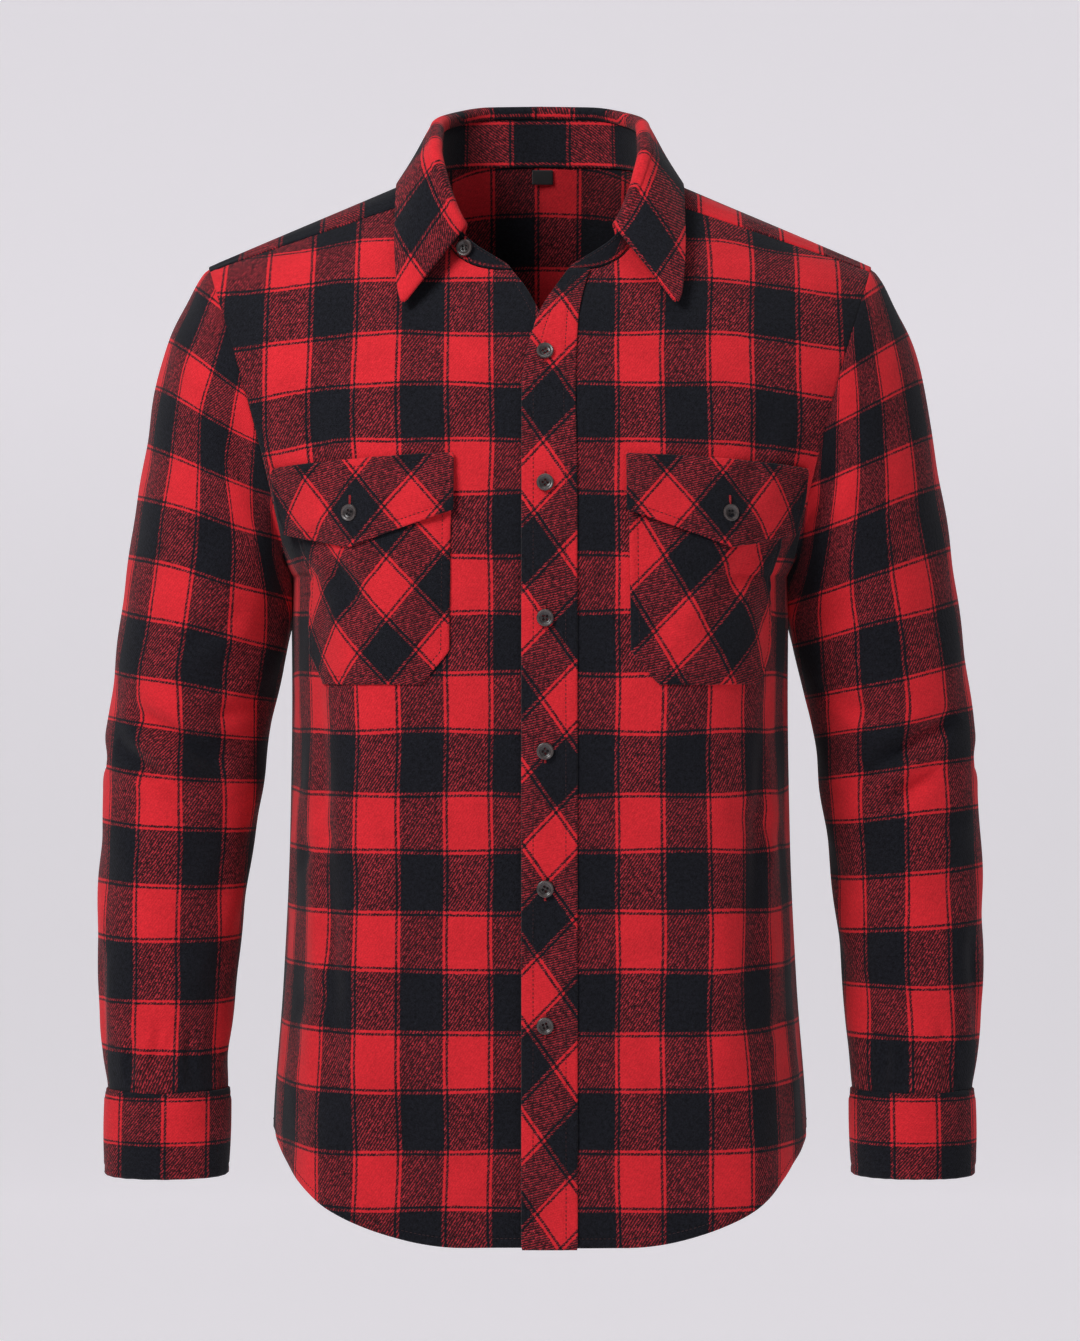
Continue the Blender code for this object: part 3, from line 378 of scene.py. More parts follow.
def shell(name, outer, threads, wall, finish, closed=False, turned=False):
    """Closed sheet of cloth: a fine grid, its wall behind it and rounded edges all round."""
    rows, columns = outer.shape[:2]
    down, across = grid_ways(outer)
    if closed:
        across[:, 0] = across[:, -1] = outer[:, 1] - outer[:, -2]
    facing = np.cross(across, down) * (-1 if turned else 1)
    facing[1:-1, 1:-1] += facing[:-2, 1:-1] + facing[2:, 1:-1] + facing[1:-1, :-2] + facing[1:-1, 2:]
    inner = outer - unit(facing) * wall
    kept = columns - 1 if closed else columns
    number = np.arange(rows * kept).reshape(rows, kept)
    number = np.concatenate([number, number[:, :1]], axis=1) if closed else number
    quads = [grid_quads(number), grid_quads(number + rows * kept)[:, ::-1]]
    place = np.arange(rows * columns).reshape(rows, columns)
    looks = [grid_quads(place), grid_quads(place)[:, ::-1]]
    points = [outer[:, :kept].reshape(-1, 3), inner[:, :kept].reshape(-1, 3)]
    if closed:
        rims = [(place[0], -down[0]), (place[-1, ::-1], down[-1, ::-1])]
    else:
        rims = [(np.concatenate([place[0], place[1:, -1], place[-1, -2::-1], place[-2::-1, 0]]),
                 np.concatenate([-down[0], across[1:, -1], down[-1, -2::-1], -across[-2::-1, 0]]))]
    for look, away in rims:
        first = sum(len(group) for group in points)
        row, column = np.divmod(look, columns)
        middle = (outer[row, column] + inner[row, column]) / 2 + unit(away) * wall * ROUNDED_EDGE
        points.append(middle[:-1])
        edge, rim = np.append(first + np.arange(len(look) - 1), first), number[row, column]
        for one, two in ((rim, edge), (edge, rim + rows * kept)):
            quads.append(together(one[1:], one[:-1], two[:-1], two[1:]))
            looks.append(together(look[1:], look[:-1], look[:-1], look[1:]))
    quads, looks = np.concatenate(quads), np.concatenate(looks)
    if turned:
        quads, looks = quads[:, ::-1], looks[:, ::-1]
    mesh = mesh_of(name, np.concatenate(points).tolist(), quads.tolist())
    mesh.uv_layers.new(name="cloth")
    mesh.uv_layers["cloth"].data.foreach_set("uv", threads.reshape(-1, 2)[looks.reshape(-1)].reshape(-1))
    mesh.shade_smooth()
    mesh.materials.append(finish)
    return placed(name, mesh)


def sewn(node, slot, outer, threads, wall, finish, held="hung", rests_on=(), kind="cloth", **form):
    """Shown piece of cloth that stands for its solid."""
    piece = shell(f"{node}_{kind}", outer, threads, wall, finish, **form)
    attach(piece, "root")
    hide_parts(node)


def body_threads(distance, z, face):
    """Lengths of thread across and up a panel of the body."""
    reach = np.abs(body(distance, z, face)[..., 0])
    across = blend(distance, np.copysign(reach, distance), ease(z, *STRIPES_LEVEL_OUT))
    drop = ROW_DROP * ease(reach, *DROP_OUT) * ease(z, *DROP_UP)
    lean = blend(*SHOULDER_LEAN, ease(reach, *SHOULDER_OUT)) * np.maximum(z - SHOULDER, 0)
    up = z + CHEST_LEAN * np.maximum(z - CHEST, 0) + lean + drop - FRONT_ROW
    return across + waves(distance, z, 61, 0.0008, 0.110), up + waves(distance, z, 62, 0.0009, 0.120)


def maths(operation, swapped=False):
    """Operator that adds one maths node to a finish."""
    def act(wire, *others):
        values = (*others, wire) if swapped else (wire, *others)
        return wire.finish.add("ShaderNodeMath", {"operation": operation}, dict(enumerate(values)))
    return act


class Wire:
    """A node's output, so that shader maths reads as sums."""

    def __init__(self, finish, socket):
        self.finish, self.socket = finish, socket

    __add__ = __radd__ = maths("ADD")
    __mul__ = __rmul__ = maths("MULTIPLY")
    __sub__, __rsub__ = maths("SUBTRACT"), maths("SUBTRACT", swapped=True)
    __truediv__, __mod__ = maths("DIVIDE"), maths("FLOORED_MODULO")
    __lt__, __gt__, __abs__ = maths("LESS_THAN"), maths("GREATER_THAN"), maths("ABSOLUTE")


class Finish:
    """A material whose nodes are added one by one around one Principled shader."""

    def __init__(self, name, **constants):
        self.material = bpy.data.materials.new(name)
        self.material.use_nodes = True
        self.tree = self.material.node_tree
        self.shader = self.tree.nodes["Principled BSDF"]
        for socket, value in constants.items():
            self.shader.inputs[socket.replace("_", " ")].default_value = value

    def add(self, kind, settings, values, output=0):
        """One node: its settings first, then the values or links of its sockets."""
        node = self.tree.nodes.new(kind)
        for setting, value in settings.items():
            setattr(node, setting, value)
        for socket, value in values.items():
            if isinstance(value, Wire):
                self.tree.links.new(value.socket, node.inputs[socket])
            else:
                node.inputs[socket].default_value = value
        return Wire(self, node.outputs[output])

    def noise(self, where, scale, detail=2.0):
        """Cloudy values round a half."""
        return self.add("ShaderNodeTexNoise", {}, {"Vector": where, "Scale": scale, "Detail": detail})

    def mixed(self, first, second, part):
        """Colour between two others."""
        return self.add("ShaderNodeMix", {"data_type": "RGBA"}, {0: part, 6: first, 7: second}, 2)

    def shade(self, colour, amount):
        """Colour made lighter or darker by a value."""
        return self.add("ShaderNodeVectorMath", {"operation": "SCALE"}, {0: colour, "Scale": amount})

    def feed(self, **values):
        """Links to the shader's own sockets."""
        for socket, value in values.items():
            self.tree.links.new(value.socket, self.shader.inputs[socket.replace("_", " ")])


def dyed(red, green, blue):
    """Colour of a yarn from its 0 to 255 values."""
    return tuple(((part / 255 + 0.055) / 1.055) ** 2.4 if part > 10 else part / 255 / 12.92
                 for part in (red, green, blue)) + (1.0,)


RED_YARN = dyed(217, 42, 51)
BLACK_YARN = dyed(24, 25, 31)
MIXED_RED = dyed(158, 43, 51)
MIXED_BLACK = dyed(58, 25, 31)
PIN_LINE = 0.0017
PIN_FROM_EDGE = 0.0026
FIELD_FUZZ = 0.0020
NAP = 0.00035
# Twill runs steeper than 45 degrees.  Red shows on the warp's and the weft's part of each rib
TWILL_UP, TWILL_ACROSS = 0.545, 0.839
WARP_PART, WEFT_PART, SHOWN_HALF = 0.27, 0.77, 0.155


def flannel(name, stripe, black_stripe, row, black_row, twill):
    """Brushed twill in a two-colour check with a thin black line inside every red field."""
    cloth = Finish(name, Roughness=0.95, Sheen_Weight=0.06, Sheen_Roughness=0.5, Specular_IOR_Level=0.12)
    threads = cloth.add("ShaderNodeUVMap", {"uv_map": "cloth"}, {})
    split = cloth.add("ShaderNodeSeparateXYZ", {}, {0: threads})
    across, up = split, Wire(cloth, split.socket.node.outputs[1])
    fuzz = cloth.noise(threads, 900) - 0.5
    drift = cloth.noise(threads, 380) - 0.5
    cloud = cloth.noise(threads, 42, 3.0) - 0.5
    red = []
    for along, period, black in ((across, stripe, black_stripe), (up, row, black_row)):
        field = (period - black) / 2
        off = abs((along + fuzz * FIELD_FUZZ - black) % period - field)
        red.append((off < field) * (1 - (abs(off - (field - PIN_FROM_EDGE)) < PIN_LINE / 2)))
    warp, weft = red
    both = warp * weft
    one = warp + weft - both * 2
    rib = ((up * TWILL_UP - across * TWILL_ACROSS) / twill + fuzz * 0.9 + drift * 0.9) % 1
    worn = SHOWN_HALF + drift * 0.60 + cloud * 0.15
    shown = warp * (abs(rib - WARP_PART) < worn) + weft * (abs(rib - WEFT_PART) < worn)
    ridge = abs(rib - 0.5) * 2
    mixed = cloth.mixed(MIXED_BLACK, MIXED_RED, shown)
    colour = cloth.mixed(BLACK_YARN, mixed, one)
    colour = cloth.mixed(colour, RED_YARN, both)
    rough = 3.2 - both * 2.2
    tone = 1 + (fuzz * 0.55 + drift * 0.45) * rough + cloud * 0.35 - ridge * 0.10
    height = ridge * 0.5 + fuzz * 1.1 + drift * 0.8
    bump = cloth.add("ShaderNodeBump", {}, {"Strength": 0.55, "Distance": NAP, "Height": height})
    cloth.feed(Base_Color=cloth.shade(colour, tone), Normal=bump)
    return cloth.material


STRIPE, BLACK_STRIPE = 0.0618, 0.0284
ROW, BLACK_ROW = 0.0799, 0.0384
straight = flannel("flannel", STRIPE, BLACK_STRIPE, ROW, BLACK_ROW, 0.0018)


def stitching_tree():
    """Geometry nodes that sew a run of stitches along every line of a mesh."""
    tree = bpy.data.node_groups.new("stitching", "GeometryNodeTree")
    face = tree.interface
    face.new_socket("Geometry", in_out="INPUT", socket_type="NodeSocketGeometry")
    for name in ("Pitch", "Length", "Thickness", "Turn"):
        face.new_socket(name, in_out="INPUT", socket_type="NodeSocketFloat")
    face.new_socket("Thread", in_out="INPUT", socket_type="NodeSocketMaterial")
    face.new_socket("Geometry", in_out="OUTPUT", socket_type="NodeSocketGeometry")

    def add(kind, links=(), **settings):
        node = tree.nodes.new(kind)
        for setting, value in settings.items():
            setattr(node, setting, value)
        for socket, source in links:
            tree.links.new(source, node.inputs[socket])
        return node

    asked = add("NodeGroupInput").outputs
    lines = add("GeometryNodeMeshToCurve", [("Mesh", asked["Geometry"])])
    spaced = add("GeometryNodeResampleCurve", [("Curve", lines.outputs[0]), ("Length", asked["Pitch"])],
                 mode="LENGTH")
    ball = add("GeometryNodeMeshUVSphere")
    ball.inputs["Segments"].default_value = 6
    ball.inputs["Rings"].default_value = 4
    ball.inputs["Radius"].default_value = 0.5
    uneven = add("FunctionNodeRandomValue", data_type="FLOAT")
    uneven.inputs[2].default_value, uneven.inputs[3].default_value = 0.88, 1.08
    uneven.inputs["Seed"].default_value = 11
    long = add("ShaderNodeMath", [(0, asked["Length"]), (1, uneven.outputs[1])], operation="MULTIPLY")
    size = add("ShaderNodeCombineXYZ",
               [("X", long.outputs[0]), ("Y", asked["Thickness"]), ("Z", asked["Thickness"])])
    way = add("GeometryNodeInputTangent")
    turned = add("FunctionNodeAlignRotationToVector", [("Vector", way.outputs[0])], axis="X")
    spin = add("FunctionNodeAxisAngleToRotation", [("Angle", asked["Turn"])])
    spin.inputs["Axis"].default_value = (0, 1, 0)
    both = add("FunctionNodeRotateRotation",
               [("Rotation", turned.outputs[0]), ("Rotate By", spin.outputs[0])], rotation_space="LOCAL")
    strewn = add("GeometryNodeInstanceOnPoints", [
        ("Points", spaced.outputs[0]), ("Instance", ball.outputs["Mesh"]),
        ("Rotation", both.outputs[0]), ("Scale", size.outputs[0]),
    ])
    real = add("GeometryNodeRealizeInstances", [(0, strewn.outputs[0])])
    dressed = add("GeometryNodeSetMaterial", [("Geometry", real.outputs[0]), ("Material", asked["Thread"])])
    add("NodeGroupOutput", [("Geometry", dressed.outputs[0])])
    return tree


STITCHING = stitching_tree()
STITCH_PITCH, STITCH_LENGTH, STITCH_THICKNESS = 0.0029, 0.0021, 0.00055


def thread_finish(name, colour):
    """Spun polyester thread, a little shiny, with its twist as fine stripes."""
    thread = Finish(name, Roughness=0.6, Specular_IOR_Level=0.4)
    twist = thread.noise(thread.add("ShaderNodeTexCoord", {}, {}, 3), 2600)
    thread.feed(Base_Color=thread.shade(colour[:3], 0.7 + twist * 0.6))
    return thread.material


dark_thread = thread_finish("dark_thread", dyed(46, 20, 25))


def evaluated(item):
    """Mesh of an object as its modifiers leave it."""
    return bpy.data.meshes.new_from_object(item.evaluated_get(bpy.context.evaluated_depsgraph_get()))


def stitched(name, lines, thread, pitch=STITCH_PITCH, length=STITCH_LENGTH,
             thickness=STITCH_THICKNESS, turn=0.0):
    """One piece with all the stitches of some seams, each seam a line of points."""
    points, edges = [], []
    for line in lines:
        edges += [(len(points) + step, len(points) + step + 1) for step in range(len(line) - 1)]
        points += [tuple(point) for point in line]
    piece = placed(name, mesh_of(name, points, [], edges))
    sewing = piece.modifiers.new("Sewing", "NODES")
    sewing.node_group = STITCHING
    wanted = {"Pitch": pitch, "Length": length, "Thickness": thickness, "Turn": turn, "Thread": thread}
    for socket in STITCHING.interface.items_tree:
        if socket.name in wanted:
            sewing[socket.identifier] = wanted[socket.name]
    made = evaluated(piece)
    piece.modifiers.remove(sewing)
    piece.data = made
    made.shade_smooth()
    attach(piece, "root")


STITCH_LIFT = 0.0001


def seam_run(points, edge, inset, turned=False, whole=False):
    """Line of stitching at an inset from one edge of a grid of cloth, just above its face."""
    down, across = grid_ways(points)
    points = points + unit(np.cross(across, down)) * (-STITCH_LIFT if turned else STITCH_LIFT)
    if edge in ("left", "right"):
        points = points.transpose(1, 0, 2)
    if edge in ("top", "right"):
        points = points[::-1]
    inward = lengths_along(points, 0)
    line = np.array([[np.interp(inset, inward[:, column], points[:, column, axis]) for axis in range(3)]
                     for column in range(points.shape[1])])
    along = lengths_along(line, 0)
    return line if whole else line[(along > inset) & (along < along[-1] - inset)]


EDGE_STITCH = 0.0053
front_cloth = {}
front_runs = []
for name, edge, side, stripe in (("front_left", LEFT_EDGE, LEFT, LEFT_FRONT_STRIPE),
                                 ("front_right", RIGHT_EDGE, RIGHT, RIGHT_FRONT_STRIPE)):
    distance, z = front_grid(edge, side)
    outer = on_front(distance, z, side=side)
    across, up = body_threads(distance, z, FRONT)
    sewn(name, "flannel", outer, together(across - stripe, up), CLOTH_WALL, straight, turned=side == RIGHT,
         rests_on=["yoke_cloth"])
    front_cloth[side] = outer
    front_runs.append(seam_run(outer, "bottom", HEM_STITCH, side == RIGHT, whole=True))
    front_runs.append(seam_run(outer, "left", EDGE_STITCH, side == RIGHT))
stitched("stitches_fronts", front_runs, dark_thread)

# ---------------------------------------------------------------- back
# The back is one panel of the same twill from side seam to side seam, and ends below the
# shoulders at the yoke.  Its tail is longer than the fronts and hemmed in the same way.

BACK_HEM, BACK_HEM_RISE = -0.7290, 0.077
YOKE_BACK_SEAM = -0.100
BACK_SEAM_ANGLE = armhole_angle(np.array(YOKE_BACK_SEAM))
BACK_STRIPE = -0.0142
BACK_COLUMNS, BACK_ARM_ROWS = 144, 52
BACK_CREASES = [
    (-0.190, -0.250, -0.080, -0.330, 0.010, 0.0034, 0.0130),
    (0.190, -0.255, 0.085, -0.325, -0.010, 0.0034, 0.0130),
    (-0.150, -0.150, -0.120, -0.260, 0.006, 0.0026, 0.0110),
    (0.152, -0.150, 0.124, -0.255, -0.006, 0.0026, 0.0110),
    (-0.060, -0.390, 0.075, -0.405, 0.008, 0.0026, 0.0110),
    (-0.120, -0.430, 0.040, -0.445, -0.006, 0.0024, 0.0100),
    (-0.030, -0.470, 0.130, -0.455, 0.006, 0.0020, 0.0100),
    (-0.150, -0.480, -0.100, -0.700, 0.006, 0.0030, 0.0140),
    (0.150, -0.470, 0.106, -0.700, -0.006, 0.0030, 0.0140),
    (-0.045, -0.540, -0.036, -0.720, 0.004, 0.0018, 0.0130),
    (0.050, -0.530, 0.044, -0.720, -0.004, 0.0018, 0.0130),
    (-0.205, -0.380, -0.185, -0.600, 0.005, 0.0026, 0.0120),
    (0.205, -0.380, 0.186, -0.600, -0.005, 0.0026, 0.0120),
]

share = np.linspace(-1, 1, BACK_COLUMNS + 1)
hem = BACK_HEM + BACK_HEM_RISE * ease(np.abs(share), *HEM_TURN)
z = heights_up(hem, np.full(share.shape, YOKE_BACK_SEAM - SEAM / 2), BACK_SEAM_ANGLE, BACK_ARM_ROWS)
width = face_width(z, BACK)
distance = share * width
calm = ease(width - np.abs(distance), 0, SIDE_CALM) * ease(YOKE_BACK_SEAM - z, 0, SIDE_CALM)
rest = waves(distance, z, 8, 0.0006, 0.080, 1.6) + waves(distance, z, 9, 0.0002, 0.030)
relief = calm * (creased(BACK_CREASES, distance, z) + rest)
outer = body(distance, z, BACK) + body_out(distance, z, BACK) * relief[..., None]
across, up = body_threads(distance, z, BACK)
sewn("back", "flannel", outer, together(-across - BACK_STRIPE, up), CLOTH_WALL, straight, turned=True,
     rests_on=["yoke_cloth"])
stitched("stitches_back", [seam_run(outer, "bottom", HEM_STITCH, True, whole=True)], dark_thread)

# ---------------------------------------------------------------- yoke
# The yoke crosses both shoulders in one piece, from the fronts to the back.  Its edges are
# turned under and stitched to the panels, and the collar stand is sewn into its neck curve.

# Neck curve: share of the way to the front, then its point
NECK = [(0.000, 0.0000, 0.0620, 0.0260), (0.150, 0.0360, 0.0555, 0.0250), (0.290, 0.0600, 0.0345, 0.0215),
        (0.430, 0.0702, 0.0035, 0.0155), (0.585, 0.0700, -0.0338, -0.0004)]
CORNER_SHARE = NECK[-1][0]
# Near the neck the yoke's lines fan out, and on the back they first run on from its curve
NECK_FAN, RIDGE_FAN = (0.0704, 0.0950), 0.010
RIDGE_SHARE = 0.2
NECK_FALL, NECK_FALL_POWER = -1.6, 1.5
# The columns beyond the yoke's corner: their number and their share of the front seam
SHOULDER_STEPS = [(0, 0), (1, 0.16), (2, 0.28), (3, 0.38), (4, 0.48), (5, 0.58), (6, 0.70), (7, 0.85), (8, 1)]
CORNER_PLACE = 7 / 15
ARMHOLE_PULL = (0.55, 1)
YOKE_COLUMNS, YOKE_ROWS = 72, 64
YOKE_STRIPE, YOKE_ROW = -0.0322, 0.065
SHOULDER_STRETCH = 1.088
# Where the rows meet the front seams, and how far the stripes are drawn aside there
YOKE_FRONT = {LEFT: (0.071, -0.0076), RIGHT: (0.037, 0.0300)}
DRAWN_FORWARD, DRAWN_OUT = (-0.040, 0.012), (0.060, 0.085)
# Its folded edges rise over the panels and lap them from a little past the yoke's corner
YOKE_FOLD, YOKE_LAP, YOKE_LAP_START = 0.0012, 0.0030, CORNER_PLACE + 0.04
FOLD_EASE = (0.002, 0.012)
YOKE_STITCH = 0.0018


def ridge_z(x):
    """Height of the shoulder line."""
    return NECK_POINT_Z - (x - NECK_POINT_X) * (NECK_POINT_Z - TIP_Z) / (TIP_X - NECK_POINT_X)


def bend(start, start_way, end, end_way, count):
    """Points of a smooth curve that leaves and arrives along given ways."""
    reach = np.linalg.norm(end - start)
    part = np.linspace(0, 1, count)[:, None]
    rest = 1 - part
    return (start * (rest * rest * (1 + 2 * part)) + end * (part * part * (3 - 2 * part))
            + (start_way * rest - end_way * part) * (reach * part * rest))


def resampled(points, count):
    """Even points along a line of points."""
    lengths = lengths_along(points, 0)
    wanted = np.linspace(0, lengths[-1], count)
    return np.stack([np.interp(wanted, lengths, points[:, axis]) for axis in range(3)], axis=-1)


def yoke_line(start, end_share):
    """Line of the yoke from its upper edge over the shoulder to the seam on the back."""
    back_z = np.array(YOKE_BACK_SEAM + SEAM / 2)
    distance = end_share * face_width(back_z, BACK)
    end = body(distance, back_z, BACK)
    end_way = unit(body(distance, back_z - SLOPE_STEP, BACK) - end)
    level = unit(np.array([end[0] - start[0], end[1] - start[1], 0]))
    if start[1] >= -0.001:
        fall = NECK_FALL * (start[1] / NECK[0][2]) ** NECK_FALL_POWER if start[1] > 0 else 0.0
        return resampled(bend(start, unit(level + np.array([0, 0, fall])), end, end_way, 90), YOKE_ROWS + 1)
    sideways = 1 - ease(start[0], *NECK_FAN)
    ridge_x = blend(start[0], end[0], RIDGE_SHARE) + RIDGE_FAN * sideways
    ridge = np.array([ridge_x, 0, ridge_z(ridge_x)])
    along = along_front(start[0], start[2])
    up = unit(body(along, start[2] + 0.003, FRONT) - body(along, start[2], FRONT))
    start_way = unit(up + np.array([2 * sideways, 0, 0]))
    over = bend(start, start_way, ridge, level, 40)
    return resampled(np.concatenate([over, bend(ridge, level, end, end_way, 60)[1:]]), YOKE_ROWS + 1)


def yoke_half():
    """Lines of the yoke's left half, from the middle of the back to the armhole."""
    places = np.linspace(0, 1, YOKE_COLUMNS + 1)
    corner = front_shares(LEFT_EDGE, 1, 1)[1]
    lines = []
    for place in places:
        if place <= CORNER_PLACE:
            start = curve(NECK, place / CORNER_PLACE * CORNER_SHARE)
        else:
            past = (place - CORNER_PLACE) / (1 - CORNER_PLACE)
            step = curve(SHOULDER_STEPS, past * SHOULDER_STEPS[-1][0])[0]
            share = np.array(blend(corner, 1, step))
            z = front_tops(share, LEFT_EDGE)
            start = body(front_distance(share, z, LEFT_EDGE), z, FRONT)
        lines.append(yoke_line(start, place))
    lines = np.array(lines)
    seam = armhole(np.linspace(FRONT_SEAM_ANGLE, -BACK_SEAM_ANGLE, YOKE_ROWS + 1))
    return lines + (seam - lines[-1]) * ease(places, *ARMHOLE_PULL)[:, None, None]


def both_sides(half, axis=0):
    """Whole piece from its left half, which starts in the middle."""
    other = np.flip(half, axis=axis)
    other = np.take(other, range(other.shape[axis] - 1), axis=axis) * np.array([-1, 1, 1])
    return np.concatenate([other, half], axis=axis)


def from_ends(points):
    """Lengths along the lines of the yoke from the front and from the back."""
    return lengths_along(points, 0), lengths_along(points[::-1], 0)[::-1]


yoke_lines = yoke_half()
outer = both_sides(yoke_lines).transpose(1, 0, 2)
down, across = grid_ways(outer)
out = -unit(np.cross(across, down))
seamed = ease(np.abs(np.linspace(-1, 1, outer.shape[1])), CORNER_PLACE, YOKE_LAP_START)
from_front, from_back = from_ends(outer)
fold = seamed * (1 - ease(from_front, *FOLD_EASE)) + 1 - ease(from_back, *FOLD_EASE)
outer = outer + out * (YOKE_FOLD * fold)[..., None]
outer[0] -= unit(outer[1] - outer[0]) * YOKE_LAP * seamed[:, None]
outer[-1] += unit(outer[-1] - outer[-2]) * YOKE_LAP
reach = np.abs(outer[..., 0])
across = np.sign(outer[..., 0]) * (reach + np.maximum(reach - NECK_POINT_X, 0) * (SHOULDER_STRETCH - 1))
from_front, from_back = from_ends(outer)
across, up = across - YOKE_STRIPE, from_back - YOKE_ROW
drawn = ease(-outer[..., 1], *DRAWN_FORWARD) * ease(reach, *DRAWN_OUT)
for side, (row, aside) in YOKE_FRONT.items():
    own = drawn * (np.sign(outer[..., 0]) == side)
    shift = row - from_front - up
    shift = shift - ROW * np.round(shift[0, YOKE_COLUMNS + side * YOKE_COLUMNS * 3 // 4] / ROW)
    across, up = across - own * aside, up + own * shift
sewn("yoke", "flannel", outer, together(across, up), CLOTH_WALL, straight, turned=True)
shoulder = int(YOKE_COLUMNS * YOKE_LAP_START)
yoke_runs = [seam_run(outer, "top", YOKE_STITCH, True)]
yoke_runs += [seam_run(edge, "bottom", YOKE_STITCH, True)
              for edge in (outer[:, :YOKE_COLUMNS - shoulder], outer[:, YOKE_COLUMNS + shoulder:])]
stitched("stitches_yoke", yoke_runs, dark_thread)

# ---------------------------------------------------------------- collar
# A stand as wide as two fingers is sewn into the neck seam and buttons at the throat.  The
# leaf is sewn to its top, folds over it and ends in two points.  Both are doubled cloth, the
# leaf stitched one foot's width from its edge.

COLLAR_WALL = 0.0020
STAND_GAP, STAND_ROWS, STAND_STITCH = 0.0009, 14, 0.0020
NECK_STEPS = 56
LEAF_END = 0.880
LEAF_STEP = 0.02
LEAF_ROWS, FOLD_ROWS = 34, 12
LEAF_BULGE = 0.015
FOLD_RADIUS = 0.0031
LYING_GAP = 0.0012
BODY_MIDDLE = np.array([0.060, 0.010, -0.100])
# Share along the neck seam; the stand's top; how far the fold rises; the leaf's outer edge
COLLAR = [
    (0.000, 0.0000, 0.0680, 0.0606, 0.0084, 0.0000, 0.0805, 0.0225),
    (0.150, 0.0370, 0.0615, 0.0592, 0.0084, 0.0450, 0.0755, 0.0215),
    (0.290, 0.0598, 0.0390, 0.0530, 0.0082, 0.0755, 0.0545, 0.0190),
    (0.430, 0.0716, -0.0020, 0.0415, 0.0082, 0.0942, 0.0170, 0.0120),
    (0.585, 0.0720, -0.0430, 0.0220, 0.0082, 0.0982, -0.0300, 0.0020),
    (0.720, 0.0675, -0.0640, -0.0020, 0.0082, 0.0982, -0.0760, -0.0410),
    (0.860, 0.0530, -0.0755, -0.0345, 0.0080, 0.0925, -0.1050, -0.0840),
    (1.000, 0.0220, -0.0800, -0.0560, 0.0080, 0.0220, -0.0800, -0.0560),
]
STAND_STRIPE, STAND_ROW = 0.0310, -BLACK_ROW / 2
LEAF_STRIPE = 0.0262
LEAF_ROW, LEAF_ROW_RISE, LEAF_TURN = 0.0414, 0.0186, (0.068, 0.110)


def neck_seam():
    """Shares and points of half the neck seam, from the middle of the back to the front edge."""
    back_share = np.linspace(0, CORNER_SHARE, NECK_STEPS + 1)
    column = front_shares(LEFT_EDGE, NECK_COLUMNS, 1)[:NECK_COLUMNS][::-1]
    z = front_tops(column, LEFT_EDGE)
    front = body(front_distance(column, z, LEFT_EDGE), z, FRONT)
    points = np.concatenate([curve(NECK, back_share), front])
    lengths = lengths_along(points[len(back_share) - 1:], 0)
    share = CORNER_SHARE + (1 - CORNER_SHARE) * lengths[1:] / lengths[-1]
    return np.concatenate([back_share, share]), points


seam_share, seam = neck_seam()
stand_top = curve(COLLAR, seam_share)[:, :3]
along = unit(np.gradient(seam, axis=0))
rise = stand_top - seam
rise = rise - along * (rise * along).sum(axis=1, keepdims=True)
stand_bottom = seam + unit(rise) * STAND_GAP
half = np.array([blend(stand_bottom, stand_top, part) for part in np.linspace(0, 1, STAND_ROWS + 1)])
outer = both_sides(half, axis=1)
across = lengths_along(outer, 1)
across = across - across[:, [across.shape[1] // 2]]
threads = together(STAND_STRIPE - lengths_along(outer, 0), across - STAND_ROW)
sewn("collar_stand", "flannel", outer, threads, COLLAR_WALL, straight, turned=True, rests_on=["yoke_cloth"])
collar_runs = [seam_run(outer, edge, STAND_STITCH, True) for edge in ("bottom", "top")]

shoulder_points, shoulder_faces = [], []
for grid in (front_cloth[LEFT][HEM_ROWS:], yoke_lines):
    number = len(shoulder_points) + np.arange(grid.shape[0] * grid.shape[1]).reshape(grid.shape[:2])
    shoulder_points += grid.reshape(-1, 3).tolist()
    shoulder_faces += grid_quads(number).tolist()
shoulders = BVHTree.FromPolygons(shoulder_points, shoulder_faces)


def laid(point, gap):
    """Point moved straight off the shoulder where it is nearer than a gap."""
    nearest = np.array(shoulders.find_nearest(Vector(point))[0])
    off = point - nearest
    away = unit(nearest - BODY_MIDDLE)
    size = np.linalg.norm(off)
    if size > gap and off @ away > 0:
        return point
    if off @ away <= 0:
        off = -off
    return nearest + (unit(off) if size > gap / 4 else away) * gap


def leaf_line(share, foot_of):
    """Leaf of the collar from its seam over the fold to its outer edge."""
    values = curve(COLLAR, share)
    top, fold, edge = values[:3], values[3], values[4:]
    rise = unit(top - foot_of)
    along = curve(COLLAR, share + LEAF_STEP)[:3] - curve(COLLAR, max(share - LEAF_STEP, 0))[:3]
    out = unit(np.cross(rise, along))
    middle = top + rise * (fold - FOLD_RADIUS)
    foot = top + rise * LYING_GAP - out * COLLAR_WALL
    turns = [middle + (out * cos(angle) + rise * sin(angle)) * FOLD_RADIUS
             for angle in np.radians(np.linspace(180, 5, FOLD_ROWS))]
    chord = edge - turns[-1]
    size = np.linalg.norm(chord)
    lift = unit(out - chord * (out @ chord) / size ** 2) * LEAF_BULGE * size
    fall = [blend(turns[-1], edge, part) + lift * 4 * part * (1 - part)
            for part in np.linspace(0, 1, LEAF_ROWS + 1)[1:]]
    fall = [laid(point, LYING_GAP + COLLAR_WALL) for point in fall]
    return [foot, blend(foot, turns[0], 0.5)] + turns + fall


